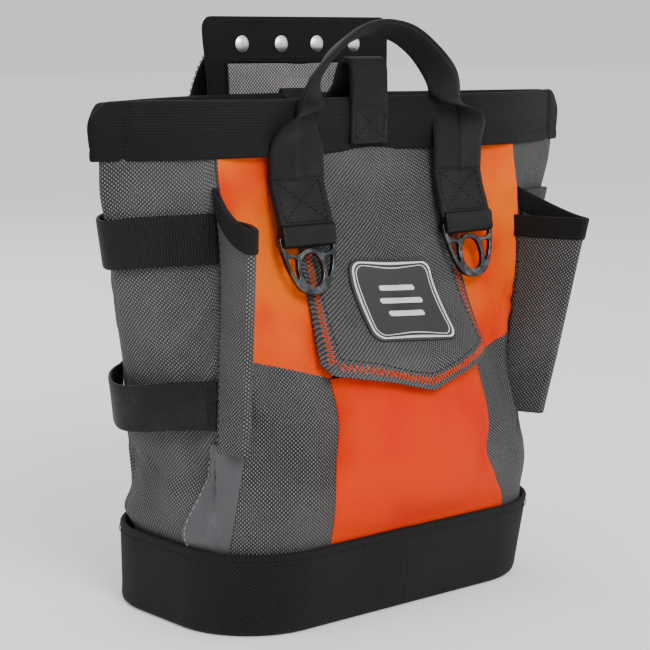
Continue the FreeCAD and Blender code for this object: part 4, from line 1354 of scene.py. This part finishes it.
def build_holsters():
    p = np.concatenate([np.linspace(0, 0.45, 20), np.linspace(0.46, 0.54, 9),
                        np.linspace(0.55, 1, 20)])
    t = stops(HOLSTER_RUN, 3.0)
    rows = []
    for side, sign in (("left", -1.0), ("right", 1.0)):
        flip = np.array([sign, 1.0, 1.0])
        shift, foot, reach = HOLSTER_SHIFT[side], HOLSTER_FOOT[side], HOLSTER_REACH[side]
        order = p if sign > 0 else p[::-1]
        pp, tt = np.meshgrid(order, t)
        z = foot + (holster_top(pp, shift) - 1.0 - foot) * tt
        sag = noise(pp * 60 + z * 0.2, z * 0.5, 18.0, 51) * 0.8 * np.sin(math.pi * tt)
        points = holster_point(pp, z, reach) + np.stack([sag * 0.7, -sag * 0.7, 0 * sag], -1)
        points *= flip
        share = edge_share(t, HOLSTER_RUN)[:, None]
        pouch = sheet_mesh("holster_pouch_" + side, points, 1.5 * share)
        finish_piece(pouch, GREY, "grey_fabric", "holster_" + side)
        b = stops(TAPE_HIGH, 2.0, 0.8)
        pp, bb = np.meshgrid(order, b)
        z = holster_top(pp, shift) - 12.0 + TAPE_HIGH * bb
        points = holster_point(pp, z, reach) * flip
        share = edge_share(b, TAPE_HIGH, 0.8)[:, None]
        tape = sheet_mesh("holster_tape_" + side, points, 3.4 * share)
        finish_piece(tape, RIM_WEAVE, "black_fabric", "holster_binding_" + side)
        line = np.linspace(0.03, 0.97, 60)
        top = holster_top(line, shift) - 10.2
        points = holster_point(line, top, reach, 1.75) * flip
        middle = holster_point(0 * line + 0.5, top, reach, -8.0) * flip
        rows.append((points, unit((points - middle) * np.array([1, 1, 0.0])), False))
        line_z = np.linspace(foot + 4, HOLSTER_HIGH + shift - 2, 60)
        for p_at in (0.03, 0.97):
            points = holster_point(0 * line_z + p_at, line_z, reach, 0.85) * flip
            rows.append((points, np.tile(unit(np.array([sign * 0.7, -0.7, 0])), (60, 1)), False))
    stitches("holster_stitching", rows, BLACK_THREAD, "grey_fabric")


# ------------------------------------------------------------------ belt panel and tunnel

def build_belt():
    """Riveted panel above the back rim, its grey window in a bead, and the tunnel's layer."""
    middle_z = (BELT_TOP + low("belt_panel", 2)) / 2
    half_z = (BELT_TOP - low("belt_panel", 2)) / 2
    line = rounded_outline(BELT_HALF, half_z, 6.0, 1.3)

    def place(x, z, height):
        """Panel's front face: a little wavy, and its left edge tapers in towards the rim."""
        wavy = noise(x, z, 45.0, 61) * 0.35
        x = x + 3.6 * (x < 0) * (x / BELT_HALF) ** 2 * smooth((half_z - 6 - z) / 34)
        return np.stack([x, BELT_Y + 0.9 - height + wavy, middle_z + z], -1)

    rings = [(s, 0, 0.75) for s in (0.0, 0.2, 0.4, 0.6, 0.8, 0.92)]
    rings += [(1.0, 1.2, 0.8), (1.0, 0.4, 0.6), (1.0, 0, 0.0), (1.0, 0.4, -0.7), (1.0, 1.4, -0.9)]
    panel = plate("belt_flap", line, rings, place)
    finish_piece(panel, RIM_WEAVE, "black_fabric", "belt_panel")

    half = high("belt_window", 0)
    low_z, high_z = low("belt_window", 2) - 7.5, high("belt_window", 2)
    window_z = (low_z + high_z) / 2
    outline = rounded_outline(half, (high_z - low_z) / 2, 1.5)
    shift = window_z - middle_z
    window = plate("belt_window_cloth", outline,
                   [(s, 0, 1.2) for s in (0.0, 0.3, 0.6, 0.85)] + [(1.0, 0.3, 1.2), (1.0, 0, 0.7)],
                   lambda x, z, h: place(x, z + shift, h))
    finish_piece(window, GREY_LIGHT, "grey_fabric", "belt_window")
    outline = rounded_outline(half + 1.4, (high_z - low_z) / 2 + 1.4, 2.2)
    bead = ring_relief("belt_window_edge", outline,
                       ((1.0, 2.0, 0.7), (1.0, 1.9, 1.5), (1.0, 1.0, 1.9), (1.0, 0.1, 1.5),
                        (1.0, 0.0, 0.7)), lambda x, z, h: place(x, z + shift, h))
    finish_piece(bead, RIM_WEAVE, "black_fabric")
    build_tunnel()

    def front(a, b):
        return place(a, b - middle_z, 0.85), np.tile([0.0, -1.0, 0.0], (len(a), 1))

    edge, top = BELT_HALF - 2.6, BELT_TOP - 2.6
    rows = [row_on(front, (-edge, 279), (-edge, 306)), row_on(front, (edge, 279), (edge, 306)),
            row_on(front, (-54, top), (54, top), 60), row_on(front, (-62, 295.4), (62, 295.4), 60)]
    stitches("belt_stitching", rows, BLACK_THREAD, "black_fabric")


TUNNEL_STEPS = 70


def build_tunnel():
    """Back layer of the belt tunnel, bowed out behind the panel and brought down the back."""
    route = chain(((0, 32.2, 317.6), (0, 32.4, 300), (0, 41.0, 288), (0, 47.5, 275),
                   (0, 50.5, 262), (0, 53.5, 225), (0, 59.5, 168), (0, 65.0, 113)), TUNNEL_STEPS)
    half = high("belt_loop", 0)
    xs = (2 * stops(2 * half, 4.0) - 1) * half
    grid = np.repeat(route[:, None], len(xs), 1)
    bow = (1 - (xs / half) ** 2) * 2.0
    free = np.sin(math.pi * np.linspace(0, 1, TUNNEL_STEPS)) ** 1.2
    grid[..., 0] = xs[None]
    grid[..., 1] += bow[None] * free[:, None]
    grid[..., 1] += noise(grid[..., 0], grid[..., 2], 40.0, 71) * 0.7 * free[:, None]
    grid = grid[::-1, ::-1]
    share = edge_share(stops(2 * half, 4.0), 2 * half)[None]
    layer = sheet_mesh("belt_tunnel_layer", grid, 2.0 * share)
    finish_piece(layer, BLACK, "black_fabric", "belt_loop")
    surface = Surface(grid)

    def place(a, b):
        normal = surface.normal(a, b)
        return surface.at(a, b) + normal * 1.1, normal

    rows = box_cross(place, 0.05, 0.95, 0.015, 0.085)
    for side in (0.025, 0.975):
        rows.append(row_on(place, (side, 0.1), (side, 0.97), 80))
    rows.append(row_on(place, (0.04, 0.985), (0.96, 0.985), 60))
    stitches("tunnel_stitching", rows, GREY_THREAD, "black_fabric")


# ------------------------------------------------------------------ straps, keepers, handle

STRAP_WIDTH = 36.0
STRAP_STEPS = 22
STRAP_LEAN = ((-46.9, 208.6), (-44.0, 216.0), (-40.2, 226.0), (-37.7, 236.2))
KEEPER_HALF = 17.6


def strap_across(count):
    return np.tile([1.0, 0.0, 0.0], (count, 1))


def build_strap_ends():
    """Sewn ends of the handle, up from their hems to the seam, and the folds for the ring bars."""
    rows = []
    for side, sign in (("left", -1), ("right", 1)):
        path = chain([(sign * (STRAP_X - 0.36 * (236 - z) / 27), y, z) for y, z in STRAP_LEAN],
                     STRAP_STEPS)
        across = strap_across(STRAP_STEPS)
        out = np.cross(across, tangents(path))
        obj = sweep("strap_end_cover_" + side, path, across, out,
                    lambda i: strap_section(STRAP_WIDTH, 3.0 - 0.5 * bump(i, 0, 2.0)))
        finish_piece(obj, WEB_RIBBED, "black_webbing", "strap_end_" + side)
        place = on_ribbon(path, out, 1.65)
        rows += box_cross(place, -14.5, 14.5, 0.14, 0.9)
        rows.append(row_on(place, (-15.5, 0.07), (15.5, 0.07)))

        fold = [(3.8 * math.cos(a) * (1.0 + 0.12 * (math.sin(a) < 0)), 4.2 * math.sin(a))
                for a in np.linspace(0, 2 * math.pi, 22)[:-1]]
        tail = [(y, z + (4.0 if z > 2.4 else 0.0)) for y, z in fold]
        s = stops(2 * KEEPER_HALF, 3.0, 1.0)
        xs = (2 * s - 1) * KEEPER_HALF
        full = edge_share(s, 2 * KEEPER_HALF, 1.0)
        bar = [sign * STRAP_X, -46.7, 203.4] + np.stack([xs, 0 * xs, 0 * xs], -1)
        keeper = sweep("ring_loop_" + side, bar, np.tile([0.0, 1.0, 0.0], (len(xs), 1)),
                       np.tile([0.0, 0.0, 1.0], (len(xs), 1)),
                       lambda i: [(y * (0.75 + 0.25 * full[i]), z) for y, z in tail])
        finish_piece(keeper, COATED_BLACK, "black_webbing", "ring_keeper_" + side)
    stitches("strap_stitching", rows, BLACK_THREAD, "black_webbing")


GRIP_ROLL = 0.04
GRIP_GAP = 1.0
GRIP_TWIST = math.radians(66.0)


def handle_route():
    """Middle line of the webbing from the right seam over the top to the left one."""
    right = [(STRAP_X, 234.6), (STRAP_X + 0.3, 246.0), (STRAP_X - 1.0, 258.0), (52.0, 273.0),
             (43.5, 287.5), (30.0, 301.0), (14.0, 309.8), (0.0, 312.0)]
    points = right + [(-x, z) for x, z in right[-2::-1]]
    y = HINGE_Y + 0.3
    return np.array([(x, y, z) for x, z in points])


def build_handle():
    """One webbing, flat where it is sewn on and folded along its middle to make the grip."""
    count = 130
    path = chain(handle_route(), count)
    along = tangents(path)
    front = np.tile([0.0, -1.0, 0.0], (count, 1))
    outward = unit(np.cross(along, front)) * -1.0
    place = np.linspace(0, 1, count)
    near = np.minimum(place, 1 - place)
    fold = smooth((near - 0.05) / 0.22)
    twist = smooth((near - 0.06) / 0.30)

    def section(i):
        """Folded strip: across runs outward from the arch, out runs to the front."""
        share = fold[i]
        length = np.linspace(0, STRAP_WIDTH / 2 * (1 - GRIP_ROLL * share), 10)
        shift = -STRAP_WIDTH / 4 * (1 - GRIP_ROLL) * share
        bend = np.minimum(1.0, length / 3.0)
        apart = GRIP_GAP * share * bend
        angle = math.pi * (1 - share) * bend ** 0.7
        flat = np.stack([shift + length, -apart], -1)
        folded = np.stack([shift + length * np.cos(angle),
                           length * np.sin(angle) * 0.55 + apart], -1)
        middle = np.concatenate([folded[::-1], flat[1:]])
        slope = unit(np.gradient(middle, axis=0))
        side = np.stack([-slope[:, 1], slope[:, 0]], -1)
        rim = np.minimum(np.arange(len(middle)), np.arange(len(middle))[::-1])
        half_thick = 1.1 * np.where(rim == 0, 0.55, 1.0)[:, None]
        line = np.concatenate([middle - side * half_thick, (middle + side * half_thick)[::-1]])
        turn = -GRIP_TWIST * twist[i]
        return np.stack([line[:, 0] * math.cos(turn) - line[:, 1] * math.sin(turn),
                         line[:, 0] * math.sin(turn) + line[:, 1] * math.cos(turn)], -1)

    obj = sweep("handle_webbing", path, outward, front, section)
    finish_piece(obj, WEB, "black_webbing", "handle", body="handle")
    obj.parent = None
    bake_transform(obj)


# ------------------------------------------------------------------ rings, closure, inside

RING_BAR = (-46.5, 203.5)
RING_TILT = math.radians(14.0)
RING_THICK = 2.8
RING_BEVEL = 0.55
RING_OUTER = ((0.0, -29.3), (4.6, -28.7), (9.6, -26.0), (13.4, -20.6), (16.4, -13.0), (18.4, -5.0),
              (18.9, -1.0), (18.8, 0.6), (18.0, 1.6), (16.6, 1.8), (10.0, 1.8), (0.0, 1.8))
RING_SLOT = ((0.0, -4.9), (3.4, -5.4), (6.6, -7.0), (10.5, -7.6), (14.2, -6.6), (15.9, -5.2),
             (16.5, -3.2), (16.3, -2.0), (15.2, -1.4), (10.0, -1.3), (0.0, -1.3))
RING_OVAL = ((0.0, -25.0), (3.9, -23.8), (6.5, -20.4), (7.1, -15.6), (5.9, -10.8), (3.2, -8.1),
             (0.0, -7.4))
RING_SIDE = ((9.3, -10.2), (13.9, -9.4), (14.9, -10.6), (13.0, -16.4), (10.6, -20.2), (9.5, -19.6),
             (9.9, -15.4))


def smooth_loop(points):
    """Closed Catmull-Rom curve through the points, in seven steps between each two."""
    p = np.asarray(points, float)
    a, b, c, d = (np.roll(p, shift, 0)[:, None] for shift in (1, 0, -1, -2))
    s = (np.arange(7) / 7)[None, :, None]
    return catmull(a, b, c, d, s).reshape(-1, 2)


def mirrored_loop(points):
    left = [(-x, z) for x, z in points[::-1] if x > 0.01]
    return list(points) + left


def build_rings():
    """Cast rings: thin frame, wavy cross web, and an oval eye that thickens at the bottom."""
    bevel = RING_BEVEL
    loops = [smooth_loop(mirrored_loop(RING_OUTER)), smooth_loop(mirrored_loop(RING_SLOT)),
             smooth_loop(mirrored_loop(RING_OVAL)), smooth_loop(RING_SIDE),
             smooth_loop([(-x, z) for x, z in RING_SIDE])]
    for side, sign in (("left", -1), ("right", 1)):
        curve = bpy.data.curves.new("ring_outline_" + side, "CURVE")
        curve.dimensions = "2D"
        curve.fill_mode = "BOTH"
        curve.extrude = RING_THICK / 2 - bevel
        curve.bevel_depth = bevel
        curve.bevel_resolution = 3
        curve.offset = -bevel
        for loop in loops:
            spline = curve.splines.new("POLY")
            spline.points.add(len(loop) - 1)
            for point, (x, z) in zip(spline.points, loop):
                point.co = (x, z, 0, 1)
            spline.use_cyclic_u = True
        flat = add_object("ring_flat", curve)
        bpy.context.view_layer.update()
        mesh = bpy.data.meshes.new_from_object(flat)
        bpy.data.objects.remove(flat)
        co = np.array([v.co for v in mesh.vertices])
        x, y, z = co[:, 0], -co[:, 2], co[:, 1]
        turned_y = y * math.cos(RING_TILT) + z * math.sin(RING_TILT)
        turned_z = -y * math.sin(RING_TILT) + z * math.cos(RING_TILT)
        placed = np.stack([sign * STRAP_X + x, RING_BAR[0] + turned_y, RING_BAR[1] + turned_z], -1)
        mesh.vertices.foreach_set("co", (placed * MM).ravel())
        mesh.materials.clear()
        mesh.shade_smooth()
        mesh.update()
        ring = add_object("cast_ring_" + side, mesh)
        finish_piece(ring, RING, "ring_metal", "tool_ring_" + side, body="ring_" + side)


CLOSURE_HALF = 12.7
TAB_Y = -32.4


def closure_ribbon(name, route, count, thick):
    """Webbing of the closure strap along a (y, z) route, sagging between its two ends."""
    path = chain([(0.0, y, z) for y, z in route], count)
    path[:, 0] += noise(path[:, 1], path[:, 2], 30.0, 81) * 0.3 - 3.0
    across = strap_across(count)
    out = np.cross(across, tangents(path))
    obj = sweep(name, path, across, out, lambda i: strap_section(2 * CLOSURE_HALF, thick))
    return obj, path, out


def build_closure():
    run = ((26.2, 278.6), (26.0, 275.4), (23.0, 272.6), (12.0, 271.6), (0.0, 271.8),
           (-10.0, 273.5), (-17.5, 280.0), (-21.5, 289.0), (-24.0, 293.6), (-27.6, 295.0))
    strap, _, _ = closure_ribbon("closure_webbing", run[::-1], 46, 2.5)
    finish_piece(strap, WEB_RIBBED, "black_webbing", "closure_strap")
    fall = ((-27.4, 295.0), (-30.8, 294.3), (TAB_Y - 0.2, 290.6), (TAB_Y - 0.6, 284.0),
            (TAB_Y - 0.5, 268.0), (TAB_Y - 0.2, 250.4))
    tab, path, out = closure_ribbon("closure_tab_webbing", fall[::-1], 44, 3.0)
    finish_piece(tab, WEB_RIBBED, "black_webbing", "closure_tab", body="closure_tab")
    tab.parent = None       # as for the handle
    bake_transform(tab)
    cross = box_cross(on_ribbon(path, out, 1.6), -10.2, 10.2, 0.05, 0.42)
    stitches("tab_stitching", cross, BLACK_THREAD, "black_webbing", body="closure_tab")
    hook = plate("hook_square", rounded_outline(11.2, 10.8, 1.5),
                 [(s, 0, 0.9) for s in (0.0, 0.3, 0.6, 0.85)] + [(1.0, 0.3, 0.9), (1.0, 0, -0.1)],
                 lambda x, z, h: np.stack([x, -29.9 - h + 0 * x, 263 + z], -1))
    finish_piece(hook, HOOKS, "hook_tape", "hook_patch")


def build_inside():
    """Lining over the base board, and the finish of the parts that stay as they are."""
    def place(x, y, height):
        wavy = noise(x, y, 50.0, 91) * 0.25
        return np.stack([x, y, 5.9 + height + wavy * (height > 0)], -1)

    outline = rounded_outline(107.0, 59.0, 39.0, 3.0)
    rings = [(s, 0, 0.7) for s in (0.0, 0.2, 0.4, 0.6, 0.8, 0.95)]
    rings += [(1.0, 0.5, 0.7), (1.0, 0, 0.0)]
    lining = plate("floor_lining", outline[::-1], rings, place)
    finish_piece(lining, COATED, "grey_fabric", "base_lining")
    for node, material in (("base_board", BOARD), ("rim_spring_front", STEEL),
                           ("rim_spring_back", STEEL), ("rivets", NICKEL)):
        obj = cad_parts[node]
        obj.data.materials.clear()
        obj.data.materials.append(material)


# ------------------------------------------------------------------ camera, floor and light

CAMERA_YAW = 40.6
CAMERA_DISTANCE = 1049.0
CAMERA_HEIGHT = 308.0
CAMERA_PITCH = 8.75
CAMERA_FORWARD = 6.5       # the aim's offset behind the base centre
SENSOR = 36.0
LENS = 104.45
FLOOR_HALF = 12.0          # metres


def add_camera():
    yaw = math.radians(CAMERA_YAW)
    data = bpy.data.cameras.new("camera")
    data.sensor_width = SENSOR
    data.lens = LENS
    camera = add_object("camera", data)
    camera.location = Vector((-CAMERA_DISTANCE * math.sin(yaw),
                              -CAMERA_DISTANCE * math.cos(yaw) + CAMERA_FORWARD,
                              CAMERA_HEIGHT)) * MM
    camera.rotation_euler = (math.radians(90 - CAMERA_PITCH), 0, -yaw)
    bpy.context.scene.camera = camera


LIGHT_AIM = Vector((0, 0, 0.15))
# name, place in metres, energy, size
LIGHTS = (("key", (-0.45, -1.5, 1.25), 29, 0.8), ("fill", (1.3, -1.0, 0.8), 2, 1.0),
          ("left", (-1.6, 0.1, 0.7), 4.2, 0.9), ("back", (0.2, 1.5, 1.3), 10, 1.2))


def add_light(name, place, energy, size):
    data = bpy.data.lights.new(name, "AREA")
    data.energy = energy
    data.size = size
    light = add_object(name, data)
    light.location = place
    light.rotation_euler = (LIGHT_AIM - Vector(place)).to_track_quat("-Z", "Y").to_euler()


def add_stage():
    mesh = bpy.data.meshes.new("floor")
    half = FLOOR_HALF
    mesh.from_pydata([(-half, -half, 0), (half, -half, 0), (half, half, 0), (-half, half, 0)],
                     [], [(0, 1, 2, 3)])
    floor = add_object("floor", mesh)
    paint = bpy.data.materials.new("floor_paint")
    paint.use_nodes = True
    shader = paint.node_tree.nodes["Principled BSDF"]
    shader.inputs["Base Color"].default_value = (0.93, 0.93, 0.93, 1)
    shader.inputs["Roughness"].default_value = 0.9
    shader.inputs["Emission Color"].default_value = (1.0, 1.0, 1.0, 1)
    shader.inputs["Emission Strength"].default_value = 0.12
    mesh.materials.append(paint)
    world = bpy.data.worlds.new("studio")
    bpy.context.scene.world = world
    world.use_nodes = True
    background = world.node_tree.nodes["Background"]
    background.inputs["Color"].default_value = (1.0, 1.0, 1.0, 1)
    background.inputs["Strength"].default_value = 0.9
    for light in LIGHTS:
        add_light(*light)


# ------------------------------------------------------------------ assembly

skin = build_skin()
rest = rest_surface()
build_body(skin)
build_front_layers(skin)
build_patch(skin)
build_corner_strips(skin)
build_cup()
build_rim()
build_tool_loops(skin, rest)
build_holsters()
build_belt()
build_strap_ends()
build_handle()
build_rings()
build_closure()
build_inside()
add_stage()
add_camera()
